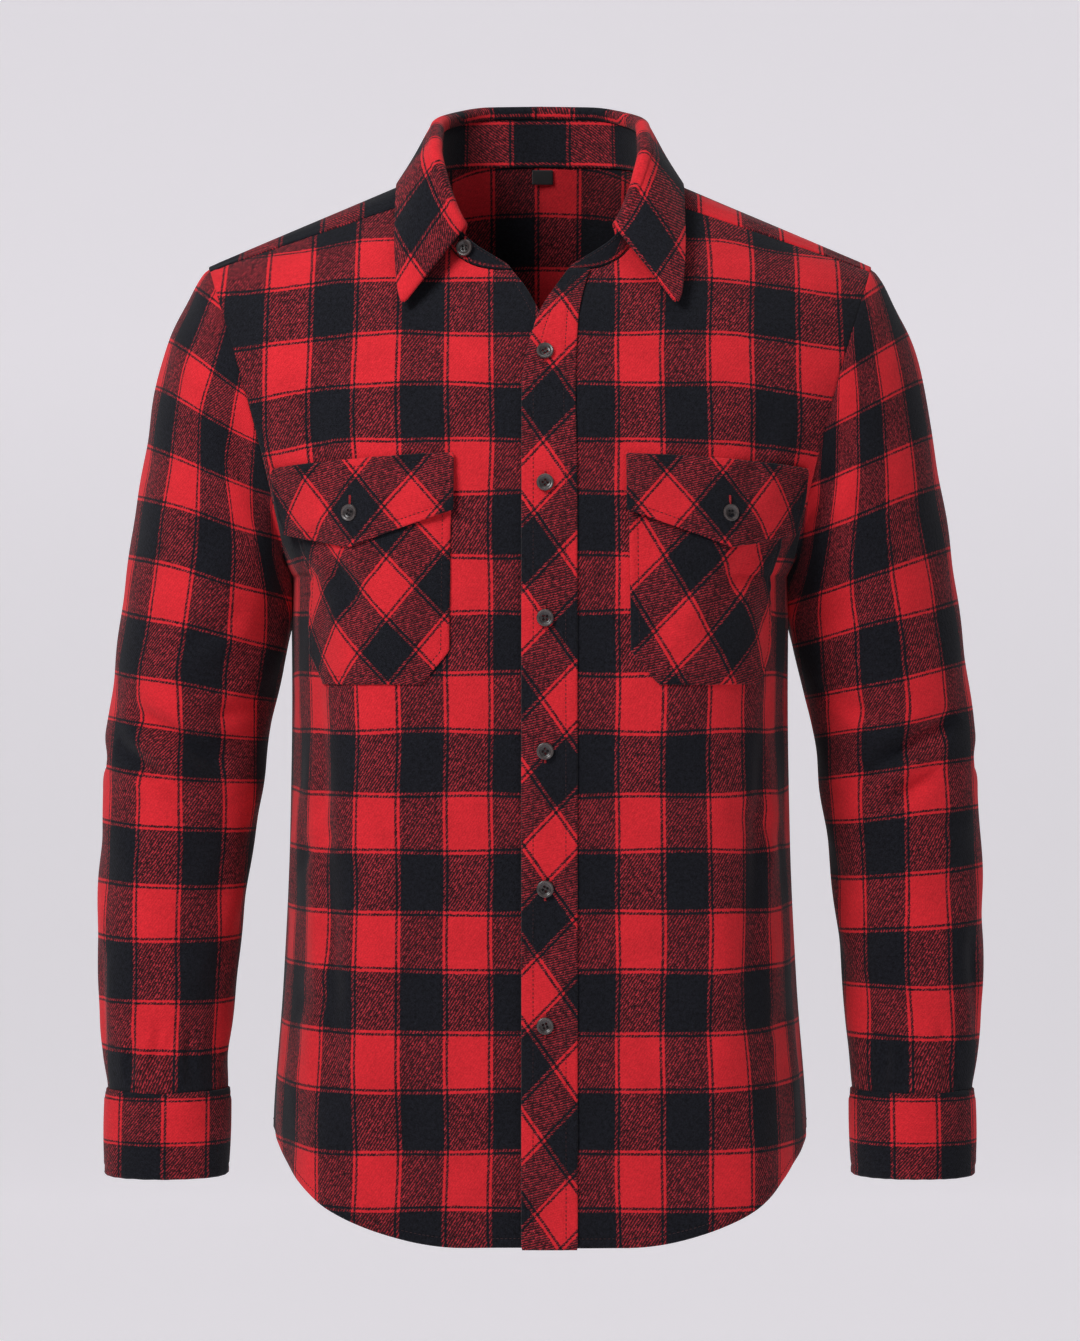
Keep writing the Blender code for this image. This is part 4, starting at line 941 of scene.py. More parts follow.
half = np.array([leaf_line(share, foot) for share, foot in zip(seam_share, seam) if share < LEAF_END])
outer = both_sides(half).transpose(1, 0, 2)
leaf = outer[FOLD_ROWS + 1:]
across = lengths_along(leaf, 1)[0]
across = across - across[len(across) // 2]
fall = lengths_along(outer, 0)
row = LEAF_ROW + LEAF_ROW_RISE * ease(np.abs(across), *LEAF_TURN)
threads = together(across - LEAF_STRIPE, row - fall)
sewn("collar", "flannel", outer, threads, COLLAR_WALL, straight, turned=True,
     held="folded", rests_on=["collar_stand_cloth"])
collar_runs += [seam_run(outer, "top", EDGE_STITCH, True)]
collar_runs += [seam_run(leaf, edge, EDGE_STITCH, True) for edge in ("left", "right")]
stitched("stitches_collar", collar_runs, dark_thread)

# ---------------------------------------------------------------- button band
# The band is a strip cut on the bias, so that its checks lie as diamonds.  It is folded at
# both edges, laid on the left front and stitched down along each side.

TRIM_WALL = 0.0013
BAND_SEAM = [(-0.750, 0.0247), (-0.200, 0.0243), (-0.150, 0.0232), (-0.098, 0.0252), (-0.072, 0.0300),
             (-0.060, 0.0340)]
BAND_DROP = 0.0012
BAND_ROWS, BAND_COLUMNS = 330, 25
BAND_LIFT, BAND_SWELL = 0.0019, 0.0007
BAND_STITCH = 0.0073
BIAS_CHECK, BIAS_BLACK = 0.0627, 0.0292
# Where a black diamond ends at its right, and the ways to the next ones above and below
BAND_CHECK = (0.0117, -0.2531), (0.0472, 0.0488), (0.0344, -0.0495)
biased = flannel("flannel_bias", BIAS_CHECK, BIAS_BLACK, BIAS_CHECK, BIAS_BLACK, 0.0015)


def bias_threads(across, up, corner, rising, falling):
    """Lengths of thread of cloth cut on the bias, so that its checks lie as diamonds."""
    across, up = across - corner[0], up - corner[1]
    size = rising[0] * falling[1] - rising[1] * falling[0]
    rises = (across * falling[1] - up * falling[0]) / size
    falls = (up * rising[0] - across * rising[1]) / size
    return BIAS_BLACK + BIAS_CHECK * together(falls, rises)


def sewn_edge(margin, wave, stitch=EDGE_STITCH, depth=0.0004, width=0.0014, fade=0.012):
    """Small waves at a stitched edge, and the hollow that its stitches pull in."""
    return wave * (1 - ease(margin, 0.002, fade)) - depth * np.exp(-((margin - stitch) / width) ** 2)


z = np.linspace(FRONT_HEM - BAND_DROP, float(front_tops(np.array(0.0), LEFT_EDGE)) - 1.5 * SEAM, BAND_ROWS)
free_edge, seam_edge = curve(LEFT_EDGE, z), curve(BAND_SEAM, z)
distance = blend(free_edge, seam_edge, np.linspace(0, 1, BAND_COLUMNS))
height = np.broadcast_to(z[:, None], distance.shape)
margin = np.minimum(distance - free_edge, seam_edge - distance)
pucker = waves(distance * 0.3, height, 21, 0.00022, 0.011)
lift = BAND_LIFT + BAND_SWELL * ease(margin, 0, 0.009)
outer = on_front(distance, height, lift + sewn_edge(margin, pucker, BAND_STITCH, 0.00035, 0.0013, 0.010))
sewn("front_band", "flannel_bias", outer, bias_threads(distance, height, *BAND_CHECK), TRIM_WALL, biased,
     held="laid", rests_on=["front_left_cloth"])
stitched("stitches_band", [seam_run(outer, edge, BAND_STITCH) for edge in ("left", "right")], dark_thread)

# ---------------------------------------------------------------- pockets and flaps
# A patch pocket with cut corners lies on each chest, and a pointed flap buttons over it.
# Both are cut on the bias, turned under at the edges and stitched.

# Pocket: height, and its edges towards the middle and the side.  Flap: distance, seam and edge
POCKET = [(-0.3420, 0.0790, 0.1620), (-0.3200, 0.0610, 0.1830), (-0.2950, 0.0607, 0.1843),
          (-0.2700, 0.0603, 0.1857), (-0.2380, 0.0600, 0.1870), (-0.2090, 0.0595, 0.1880)]
FLAP = [(0.0580, -0.1880, -0.2260), (0.0900, -0.1895, -0.2370), (0.1270, -0.1915, -0.2495),
        (0.1620, -0.1935, -0.2440), (0.1960, -0.1955, -0.2380)]
POCKET_ROWS, POCKET_COLUMNS = 84, 78
FLAP_ROWS, FLAP_COLUMNS = 42, 92
POCKET_LIFT, POCKET_FOLD, POCKET_SWELL = 0.0018, 0.0004, 0.0022
FLAP_LIFT, FLAP_RISE = 0.0040, 0.0030
POCKET_CREASES = [(0.070, -0.330, 0.120, -0.250, 0.004, 0.0009, 0.008),
                  (0.170, -0.320, 0.140, -0.255, -0.004, 0.0008, 0.008)]
POCKET_CHECK = {LEFT: ((0.1220, -0.2579), (0.0480, 0.0489), (0.0310, -0.0525)),
                RIGHT: ((-0.0838, -0.3193), (0.0375, 0.0450), (0.0385, -0.0405))}
FLAP_CHECK = {LEFT: ((0.1403, -0.2225), (0.0382, 0.0443), (0.0382, -0.0443)),
              RIGHT: ((-0.1059, -0.2244), (0.0382, 0.0443), (0.0382, -0.0443))}


def piece_margin(points):
    """How far each point of a grid is from the nearest edge of its piece."""
    up, across = lengths_along(points, 0), lengths_along(points, 1)
    return np.minimum(np.minimum(up, up[-1] - up), np.minimum(across, across[:, -1:] - across))


def pocket_surface(side):
    """Distances and heights of a pocket."""
    table = np.array(POCKET)
    z = np.linspace(table[0, 0], table[-1, 0], POCKET_ROWS)[:, None]
    inner, outer = [np.interp(z, table[:, 0], table[:, column]) for column in (1, 2)]
    distance = blend(inner, outer, np.linspace(0, 1, POCKET_COLUMNS))
    return side * distance, np.broadcast_to(z, distance.shape)


def flap_surface(side):
    """Distances and heights of a flap, from its point up to its seam."""
    table = np.array(FLAP)
    distance = np.linspace(table[0, 0], table[-1, 0], FLAP_COLUMNS)[None, :]
    top, bottom = [np.interp(distance, table[:, 0], table[:, column]) for column in (1, 2)]
    z = blend(bottom, top, np.linspace(0, 1, FLAP_ROWS)[:, None])
    return side * np.broadcast_to(distance, z.shape), z


def patch(node, side, distance, z, lift, check, under, edges):
    """Trimming laid on a front, and the stitching along some of its edges."""
    outer = on_front(distance, z, lift, side)
    sewn(node, "flannel_bias", outer, bias_threads(distance, z, *check), TRIM_WALL, biased,
         turned=side == RIGHT, held="laid", rests_on=[under])
    return [seam_run(outer, edge, EDGE_STITCH, side == RIGHT) for edge in edges]


HANDS = ((LEFT, "left"), (RIGHT, "right"))
down_flap = np.linspace(1, 0, FLAP_ROWS)[:, None]
flap_rise = FLAP_LIFT * ease(down_flap, -0.25, 0.10) + FLAP_RISE * ease(down_flap, 0.05, 0.75)
for side, hand in HANDS:
    distance, z = pocket_surface(side)
    margin = piece_margin(on_front(distance, z, side=side))
    lift = POCKET_LIFT + POCKET_FOLD * ease(margin, 0, 0.003) + POCKET_SWELL * ease(margin, 0.004, 0.045)
    creases = [(side * start, start_z, side * end, *form) for start, start_z, end, *form in POCKET_CREASES]
    lift = lift + creased(creases, distance, z)
    lift = lift + sewn_edge(margin, waves(distance, z, 31 + side, 0.00028, 0.012))
    runs = patch(f"pocket_{hand}", side, distance, z, lift, POCKET_CHECK[side], f"front_{hand}_cloth",
                 ("bottom", "left", "right"))
    distance, z = flap_surface(side)
    margin = piece_margin(on_front(distance, z, side=side))
    lift = flap_rise + sewn_edge(margin, waves(distance, z, 41 + side, 0.00030, 0.014))
    runs += patch(f"flap_{hand}", side, distance, z, lift, FLAP_CHECK[side], f"pocket_{hand}_cloth",
                  ("bottom", "left", "right", "top"))
    stitched(f"stitches_pocket_{hand}", runs, dark_thread)

# ---------------------------------------------------------------- sleeves
# Each sleeve is one piece of twill sewn into a tube under the arm and set into the armhole.
# It creases at the elbow and is pleated into its cuff.

# Step along the sleeve; outer point x, z; inner point x, z; depth of the middle; half depth;
# how far the front bows towards the body
SLEEVE = [
    (0.0, 0.2305, -0.0522, 0.1740, -0.2680, 0.0000, 0.0800, 0.0060),
    (0.2, 0.2337, -0.0543, 0.1757, -0.2664, 0.0000, 0.0802, 0.0060),
    (0.5, 0.2385, -0.0605, 0.1755, -0.2670, 0.0000, 0.0802, 0.0055),
    (1.0, 0.2457, -0.0737, 0.1752, -0.2700, 0.0000, 0.0800, 0.0050),
    (2.0, 0.2597, -0.1017, 0.1750, -0.2760, 0.0000, 0.0790, 0.0040),
    (3.0, 0.2690, -0.1375, 0.1749, -0.2830, 0.0010, 0.0770, 0.0030),
    (4.0, 0.2758, -0.1750, 0.1749, -0.2900, 0.0020, 0.0750, 0.0020),
    (5.0, 0.2821, -0.2140, 0.1750, -0.2970, 0.0030, 0.0730, 0.0010),
    (6.0, 0.2884, -0.2557, 0.1756, -0.3050, 0.0040, 0.0710, 0.0000),
    (7.0, 0.2935, -0.2930, 0.1772, -0.3170, 0.0040, 0.0690, 0.0000),
    (8.0, 0.2975, -0.3220, 0.1800, -0.3310, 0.0040, 0.0670, 0.0000),
    (9.0, 0.3005, -0.3460, 0.1842, -0.3480, 0.0040, 0.0650, 0.0000),
    (10.0, 0.3035, -0.3700, 0.1893, -0.3690, 0.0040, 0.0630, 0.0000),
    (11.0, 0.3055, -0.3930, 0.1925, -0.3900, 0.0030, 0.0610, 0.0000),
    (12.0, 0.3067, -0.4160, 0.1942, -0.4130, 0.0010, 0.0590, 0.0000),
    (13.0, 0.3080, -0.4480, 0.1990, -0.4450, -0.0030, 0.0570, 0.0000),
    (14.0, 0.3088, -0.4800, 0.2035, -0.4780, -0.0090, 0.0550, 0.0000),
    (15.0, 0.3086, -0.5120, 0.2070, -0.5110, -0.0160, 0.0530, 0.0000),
    (16.0, 0.3075, -0.5450, 0.2103, -0.5450, -0.0225, 0.0505, 0.0000),
    (17.0, 0.3055, -0.5750, 0.2126, -0.5750, -0.0285, 0.0475, 0.0000),
    (18.0, 0.3022, -0.6000, 0.2150, -0.6000, -0.0335, 0.0445, 0.0000),
    (19.0, 0.2985, -0.6215, 0.2157, -0.6215, -0.0380, 0.0420, 0.0000),
]
# Middle of the red stripe that runs down the front: height, distance out, and how steeply the
# rows fall across it towards the body
RED_STRIPE = {
    LEFT: [(-0.70, 0.2700, 0.00), (-0.55, 0.2672, 0.02), (-0.47, 0.2668, 0.07), (-0.40, 0.2665, 0.14),
           (-0.36, 0.2675, 0.19), (-0.34, 0.2655, 0.22), (-0.29, 0.2600, 0.28), (-0.26, 0.2546, 0.33),
           (-0.22, 0.2490, 0.36), (-0.18, 0.2465, 0.42), (-0.14, 0.2430, 0.53), (-0.11, 0.2374, 0.68),
           (-0.04, 0.2220, 0.80)],
    RIGHT: [(-0.70, 0.2650, 0.00), (-0.55, 0.2630, 0.00), (-0.47, 0.2618, 0.04), (-0.40, 0.2622, 0.10),
            (-0.34, 0.2630, 0.18), (-0.30, 0.2570, 0.24), (-0.26, 0.2510, 0.27), (-0.22, 0.2455, 0.29),
            (-0.19, 0.2430, 0.38), (-0.145, 0.2400, 0.56), (-0.11, 0.2290, 0.74), (-0.04, 0.2050, 0.85)],
}
# Heights at which that stripe passes the edges of the rows, from the bottom of a red one up
ROW_EDGES = {
    LEFT: [-0.690, -0.640, -0.5865, -0.5480, -0.5108, -0.4703, -0.4324, -0.3966, -0.3668,
           -0.3330, -0.2945, -0.2577, -0.2171, -0.1799, -0.1448, -0.1090, -0.0720, -0.0330],
    RIGHT: [-0.695, -0.648, -0.5948, -0.5583, -0.5191, -0.4792, -0.4420, -0.4035, -0.3732,
            -0.3382, -0.3014, -0.2611, -0.2240, -0.1885, -0.1524, -0.1194, -0.0840, -0.0450],
}
# Cloth gathers in two soft rolls under the arm: depth, angles and half width in degrees
ARMPIT_SWELL, ARMPIT_ANGLES, ARMPIT_WIDTH = 0.0042, (163, 197), 9
SLEEVE_END, SLEEVE_COLUMNS = SLEEVE[-1][0], 144
# Creases: start angle and height, end angle and height, bow, depth and half width
SLEEVE_CREASES = {
    LEFT: [
        (40, -0.364, 125, -0.409, 0.003, 0.0084, 0.0082), (300, -0.376, 380, -0.398, 0.0, 0.0045, 0.0090),
        (60, -0.398, 110, -0.428, 0.0, 0.0058, 0.0072), (84, -0.160, 150, -0.226, -0.012, 0.0060, 0.0110),
        (250, -0.210, 305, -0.160, 0.0, 0.0045, 0.0120), (150, -0.345, 70, -0.372, 0.004, 0.0034, 0.0080),
        (35, -0.430, 110, -0.455, -0.003, 0.0022, 0.0080), (120, -0.300, 60, -0.335, 0.003, 0.0020, 0.0090),
        (75, -0.520, 130, -0.560, 0.003, 0.0020, 0.0090), (40, -0.500, 20, -0.590, 0.003, 0.0018, 0.0090),
        (60, -0.618, 75, -0.570, 0.002, 0.0026, 0.0045), (82, -0.618, 92, -0.580, -0.002, 0.0024, 0.0042),
        (104, -0.618, 108, -0.575, 0.002, 0.0026, 0.0045), (126, -0.618, 122, -0.585, 0.002, 0.0020, 0.0045),
        (230, -0.618, 235, -0.560, 0.002, 0.0030, 0.0055), (255, -0.618, 258, -0.565, 0.002, 0.0028, 0.0055),
        (320, -0.618, 316, -0.575, 0.002, 0.0024, 0.0055), (200, -0.300, 260, -0.340, 0.004, 0.0030, 0.0100),
        (230, -0.450, 300, -0.480, 0.004, 0.0026, 0.0100), (90, -0.105, 115, -0.190, 0.003, 0.0020, 0.0100),
    ],
    RIGHT: [
        (45, -0.358, 128, -0.402, 0.002, 0.0084, 0.0082), (300, -0.376, 380, -0.398, 0.0, 0.0045, 0.0090),
        (35, -0.384, 105, -0.424, 0.002, 0.0060, 0.0076), (80, -0.150, 150, -0.222, -0.014, 0.0060, 0.0110),
        (250, -0.210, 305, -0.160, 0.0, 0.0045, 0.0120), (150, -0.350, 95, -0.366, 0.004, 0.0030, 0.0080),
        (50, -0.445, 115, -0.470, -0.003, 0.0020, 0.0080), (125, -0.290, 70, -0.322, 0.003, 0.0022, 0.0090),
        (65, -0.515, 120, -0.540, 0.003, 0.0020, 0.0090), (25, -0.520, 15, -0.600, 0.003, 0.0018, 0.0090),
        (58, -0.618, 68, -0.580, 0.002, 0.0022, 0.0045), (78, -0.618, 90, -0.570, -0.002, 0.0026, 0.0045),
        (98, -0.618, 100, -0.578, 0.002, 0.0024, 0.0042), (120, -0.618, 118, -0.572, 0.002, 0.0024, 0.0045),
        (232, -0.618, 236, -0.560, 0.002, 0.0030, 0.0055), (256, -0.618, 260, -0.565, 0.002, 0.0028, 0.0055),
        (318, -0.618, 314, -0.575, 0.002, 0.0024, 0.0055), (205, -0.310, 262, -0.335, 0.004, 0.0030, 0.0100),
        (228, -0.460, 302, -0.475, 0.004, 0.0026, 0.0100), (88, -0.100, 112, -0.185, 0.003, 0.0020, 0.0100),
    ],
}


def sleeve(angle, down, side, lift=0.0, creases=1.0):
    """Points of a sleeve: 0 at the outer side, 90 in front, 180 at the inner side."""
    angle, down = np.broadcast_arrays(angle, down)
    outer_x, outer_z, inner_x, inner_z, middle_y, half_depth, bow = np.moveaxis(curve(SLEEVE, down), -1, 0)
    turn = np.radians(angle)
    out = (1 + np.cos(turn)) / 2
    x = blend(inner_x, outer_x, out) - bow * np.sin(turn) ** 2
    swell = sum(np.exp(-((angle % 360 - place) / ARMPIT_WIDTH) ** 2) for place in ARMPIT_ANGLES)
    x = x - ARMPIT_SWELL * ease(down, 0, 1.2) * (1 - ease(down, 4.5, 8)) * swell
    y = middle_y - half_depth * np.sin(turn)
    z = blend(inner_z, outer_z, out)
    around = ((outer_x - inner_x) / 2 + half_depth) / 2
    height = np.zeros(z.shape)
    for start, start_z, end, end_z, *form in SLEEVE_CREASES[side]:
        for whole in (-360, 0, 360):
            first, last = [radians(place + whole) * around for place in (start, end)]
            height += creased([(first, start_z, last, end_z, *form)], turn * around, z)
    wave = waves(np.cos(turn) * 0.06 + side * 0.3, z + np.sin(turn) * 0.06, 51 + side, 0.0009, 0.070)
    calm = 1 - (1 - ease(down, 5, 9)) * ease(-np.cos(turn), 0.6, 0.95)
    calm = calm * ease(down, 0, 1.6) * ease(SLEEVE_END - down, -0.05, 0.35)
    height = creases * calm * (height + wave) + lift
    return together(side * (x + np.cos(turn) * height), y - np.sin(turn) * height, z)


def sleeve_threads(points, side):
    """Lengths of thread round and up a sleeve: its rows hang from the shoulder, then level out."""
    x, z = side * points[..., 0], points[..., 2]
    height = z
    for _ in range(20):
        stripe_x, fall = np.moveaxis(curve(RED_STRIPE[side], height), -1, 0)
        height = blend(height, z - (x - stripe_x) * fall, 0.7)
    edges = ROW_EDGES[side]
    fields = [ROW - BLACK_ROW, BLACK_ROW] * (len(edges) // 2)
    lengths = np.cumsum([BLACK_ROW] + fields[:-1])
    up = curve(together(edges, lengths), height)[..., 0]
    steps = np.diff(points, axis=1)
    slope = (fall[:, 1:] + fall[:, :-1]) / 2
    rise = (steps[..., 2] - side * steps[..., 0] * slope) / np.sqrt(1 + slope ** 2)
    around = summed(np.sqrt(np.maximum((steps ** 2).sum(axis=-1) - rise ** 2, 0)), 1)
    front = slice(0, points.shape[1] // 2 + 1)
    start = [np.interp(0, off, length) for off, length in zip((x - stripe_x)[:, front], around[:, front])]
    around = side * (around - np.array(start)[:, None]) + (STRIPE + BLACK_STRIPE) / 2
    around = around + waves(x, z, 63 + side, 0.0008, 0.100)
    return together(around, up + waves(x, z, 66 + side, 0.0009, 0.110))


angle = np.linspace(180, -180, SLEEVE_COLUMNS + 1)
down = np.concatenate([np.linspace(0, 1, 10), np.linspace(1, SLEEVE_END, 160)[1:]])[:, None]
away = unit(np.array([TIP_Z - UNDERARM_Z, 0, UNDERARM_X - TIP_X]))
for side, hand in HANDS:
    outer = sleeve(angle, down, side) + np.where(down == 0, SEAM, 0)[..., None] * away * [side, 1, 1]
    threads = sleeve_threads(sleeve(angle, down, side, creases=0.0), side)
    sewn(f"sleeve_{hand}", "flannel", outer, threads, CLOTH_WALL, straight, closed=True, turned=side == LEFT)

# ---------------------------------------------------------------- cuffs and sleeve slits
# A cuff is a doubled band that laps over itself at the back of the wrist and buttons there.
# Above its lap the sleeve's slit is bound with a narrow strip.

CUFF_WALL = 0.0024
# Height, outer and inner point, depth of the middle and half depth
CUFF = [(-0.6785, 0.2975, 0.2170, -0.0475, 0.0380), (-0.6500, 0.2980, 0.2164, -0.0430, 0.0385),
        (-0.6218, 0.2983, 0.2158, -0.0385, 0.0400)]
CUFF_BOTTOM, CUFF_TOP = CUFF[0][0], CUFF[-1][0]
CUFF_ROWS, CUFF_COLUMNS = 42, 200
# Angles, going on past the front at 90 + 360, at which it starts and over which it laps
CUFF_LAP_START, CUFF_LAP, CUFF_BLEND, CUFF_LAP_GAP = 285, 34, 40, 0.0008
CUFF_FRONT = int((450 - CUFF_LAP_START) / (360 + CUFF_LAP) * (CUFF_COLUMNS - 1))
CUFF_STRIPE = {LEFT: 0.0150, RIGHT: 0.0287}
CUFF_ROW, CUFF_PULL = -0.6572, 1.30
CUFF_SWELL, CUFF_DRAWN_IN, DRAWN_DOWN = 0.0008, 0.0010, 0.007
SLIT_FROM, SLIT_TO = 14.6, 18.7
SLIT_ANGLES = (276, 304)
SLIT_GAP = 0.0006


def cuff(angle, z, side, lift):
    """Points of a cuff, with the same angles as its sleeve's."""
    outer_x, inner_x, middle_y, half_depth = np.moveaxis(curve(CUFF, z), -1, 0)
    turn = np.radians(angle)
    x = (outer_x + inner_x) / 2 + ((outer_x - inner_x) / 2 + lift) * np.cos(turn)
    y = middle_y - (half_depth + lift) * np.sin(turn)
    return together(side * x, y, z)


def cuff_swell(z):
    """How far a cuff bulges out between its stitched edges."""
    return CUFF_SWELL * np.sin(pi * (z - CUFF_BOTTOM) / (CUFF_TOP - CUFF_BOTTOM))


cuff_runs = []
turned = np.linspace(0, 360 + CUFF_LAP, CUFF_COLUMNS)
angle = CUFF_LAP_START + turned
under = (CUFF_WALL + CUFF_LAP_GAP) * ease(turned, 360 - CUFF_BLEND, 352)
z = np.linspace(CUFF_BOTTOM, CUFF_TOP, CUFF_ROWS)[:, None]
drawn_in = CUFF_DRAWN_IN * ease(z, CUFF_TOP - DRAWN_DOWN, CUFF_TOP)
slit_angle, slit_down = np.linspace(*SLIT_ANGLES, 18), np.linspace(SLIT_FROM, SLIT_TO, 60)[:, None]
for side, hand in HANDS:
    margin = piece_margin(cuff(angle, z, side, 0 * turned))
    edges = sewn_edge(margin, waves(turned * 0.0007, z, 61 + side, 0.00025, 0.012))
    outer = cuff(angle, z, side, cuff_swell(z) - drawn_in + edges - under)
    around = lengths_along(outer, 1)
    around = around - around[:, [CUFF_FRONT]]
    threads = together(-side * around - side * CUFF_STRIPE[side], (z - CUFF_ROW) * CUFF_PULL + BLACK_ROW)
    sewn(f"cuff_{hand}", "flannel", outer, threads, CUFF_WALL, straight, turned=side == RIGHT,
         rests_on=[f"sleeve_{hand}_cloth"])
    for height in (CUFF_BOTTOM + EDGE_STITCH, CUFF_TOP - EDGE_STITCH):
        cuff_runs.append(cuff(angle[4:-4], height, side, cuff_swell(height) - 0.0002 - under[4:-4]))
    outer = sleeve(slit_angle, slit_down, side, TRIM_WALL + SLIT_GAP)
    threads = together(lengths_along(outer, 1), lengths_along(outer, 0))
    sewn(f"sleeve_placket_{hand}", "flannel", outer, threads, TRIM_WALL, straight, turned=side == RIGHT,
         held="laid", rests_on=[f"sleeve_{hand}_cloth"])
stitched("stitches_cuffs", cuff_runs, dark_thread)

# ---------------------------------------------------------------- buttons and buttonholes
# The buttons are dark marbled resin with a rounded rim, a dished face and four holes.  Each is
# sewn on with two bars of black thread, and those in front lie on buttonholes worked in red.

BUTTON_RADIUS, BUTTON_HEIGHT = 0.0058, 0.0026
HOLE_RADIUS, HOLE_SPOT = 0.00085, 0.00165 / sqrt(2)
FACE_RADIUS = 0.0041
BUTTON_SIDES, HOLE_SIDES = 40, 14
BAND_HOLE, FLAP_HOLE = (-0.0078, 0.0078), (-0.0030, 0.0115)
SEWING_HEIGHT = 0.00155
# Shares of the radius and the height, from the middle of the face round the rim to the back
BUTTON_OUTLINE = [(0.0, 0.50), (0.30, 0.50), (0.50, 0.54), (0.60, 0.66), (0.68, 0.84), (0.78, 0.97),
                  (0.88, 1.00), (0.96, 0.88), (1.00, 0.62), (0.99, 0.34), (0.93, 0.10), (0.80, 0.0),
                  (0.0, 0.0)]
BUTTONS = {f"button_band_{number}": FRONT for number in range(1, 7)}
BUTTONS |= {"button_collar_stand": FRONT, "button_flap_left": FRONT, "button_flap_right": FRONT,
            "button_cuff_left": BACK, "button_cuff_right": BACK}


def button_finish(name, dark, light):
    """Marbled resin: cloudy bands of grey brown under a soft gloss."""
    resin = Finish(name, Roughness=0.32, Coat_Weight=0.25, Coat_Roughness=0.2)
    where = resin.add("ShaderNodeTexCoord", {}, {}, 3)
    bent = resin.noise(where, 160, 3.0)
    cloud = resin.add("ShaderNodeTexNoise", {},
                      {"Vector": where, "Scale": 420.0, "Detail": 3.0, "Distortion": 1.2})
    colour = resin.mixed(dark, light, bent * 0.9 + cloud * 0.9 - 0.4)
    resin.feed(Base_Color=colour, Roughness=0.24 + cloud * 0.2)
    return resin.material


def ring(radius, height, sides, x=0.0, y=0.0):
    """Points of a level ring."""
    return [(x + radius * cos(2 * pi * side / sides), y + radius * sin(2 * pi * side / sides), height)
            for side in range(sides)]


def ring_quads(first, sides):
    """Quads from the ring that starts at a point's number to the ring after it."""
    pairs = [(first + side, first + (side + 1) % sides) for side in range(sides)]
    return [(near, near + sides, far + sides, far) for near, far in pairs]


def button_master(rim, face):
    """Turned button with its four holes cut through."""
    points, faces = [], []
    for radius, height in BUTTON_OUTLINE:
        if points:
            faces += ring_quads(len(points) - BUTTON_SIDES, BUTTON_SIDES)
        points += ring(radius * BUTTON_RADIUS, height * BUTTON_HEIGHT, BUTTON_SIDES)
    whole = placed("button", mesh_of("button", points, faces))
    points, faces = [], []
    for x, y in ((1, 1), (-1, 1), (-1, -1), (1, -1)):
        near, far = len(points), len(points) + HOLE_SIDES
        for height in (-0.001, BUTTON_HEIGHT + 0.001):
            points += ring(HOLE_RADIUS, height, HOLE_SIDES, x * HOLE_SPOT, y * HOLE_SPOT)
        faces += [(a, d, c, b) for a, b, c, d in ring_quads(near, HOLE_SIDES)]
        faces += [tuple(reversed(range(near, far))), tuple(range(far, far + HOLE_SIDES))]
    drills = placed("drills", mesh_of("drills", points, faces))
    weld = whole.modifiers.new("Weld", "WELD")
    weld.merge_threshold = 0.00001
    cut = whole.modifiers.new("Holes", "BOOLEAN")
    cut.object = drills
    cut.operation = "DIFFERENCE"
    cut.solver = "EXACT"
    made = evaluated(whole)
    made.materials.clear()
    made.materials.append(rim)
    made.materials.append(face)
    # Rim, sides and back take the lighter rim resin, a painted highlight where the rim catches the light; the
    # dished face takes the darker resin
    for side in made.polygons:
        side.material_index = int(side.center.xy.length < FACE_RADIUS and side.center.z > BUTTON_HEIGHT * 0.3)
    for item in (whole, drills):
        bpy.data.objects.remove(item, do_unlink=True)
    return made


def solid_points(node):
    """Corners of a solid of the frame."""
    return np.array([tuple(vertex.co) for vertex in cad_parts[node].data.vertices])


# The rim resin is a lighter copy of the face resin: a painted highlight on the rim, not a second colour of
# resin
master = button_master(button_finish("button_rim_painted_highlight", dyed(36, 31, 32), dyed(92, 82, 80)),
                       button_finish("button_face", dyed(24, 20, 22), dyed(70, 62, 61)))
sewing_lines, hole_lines = [], []
for number, (node, face) in enumerate(BUTTONS.items()):
    corners = solid_points(node)
    middle = (corners.min(axis=0) + corners.max(axis=0)) / 2
    axis = np.linalg.eigh(np.cov((corners - corners.mean(axis=0)).T))[1][:, 0]
    axis = axis * np.sign(axis[1]) * face
    turn = Vector((0, 0, 1)).rotation_difference(Vector(axis)).to_matrix().to_4x4()
    seat = middle - axis * BUTTON_HEIGHT / 2
    place = Matrix.Translation(Vector(seat)) @ turn @ Matrix.Rotation(0.35 * ((number * 5) % 7 - 3), 4, "Z")
    mesh = master.copy()
    mesh.transform(place)
    mesh.shade_smooth()
    piece = placed(node + "_resin", mesh)
    piece.modifiers.new("Smooth", "EDGE_SPLIT")
    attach(piece, "root")
    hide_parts(node)
    if face == FRONT:
        up = unit(np.array([0, 0, 1]) - axis * axis[2])
        ends = FLAP_HOLE if "flap" in node else BAND_HOLE
        for shift in (-0.00035, 0.00035):
            hole_lines.append([seat + axis * 0.0002 + up * end + np.array([shift, 0, 0]) for end in ends])
    for x in (-HOLE_SPOT, HOLE_SPOT):
        for shift in (-0.0002, 0.0002):
            sewing_lines.append([place @ Vector((x + shift, y * HOLE_SPOT, SEWING_HEIGHT))
                                 for y in (-1.5, 0, 1.5)])
black_thread = thread_finish("black_thread", dyed(22, 14, 17))
stitched("button_threads", sewing_lines, black_thread, pitch=0.0006, length=0.0009, thickness=0.00030)
red_thread = thread_finish("red_thread", dyed(176, 34, 42))
stitched("buttonholes", hole_lines, red_thread, pitch=0.00045, length=0.0010, thickness=0.00042, turn=pi / 2)

# ---------------------------------------------------------------- size tab
# A folded scrap of black woven tape is caught in the neck seam, and is left bare.

TAB_WALL, TAB_BOW = 0.0007, 0.0002
TAB_LENGTH, TAB_COLUMNS, TAB_ROWS = 0.0104, 16, 14
TAB_RIM = 0.0012


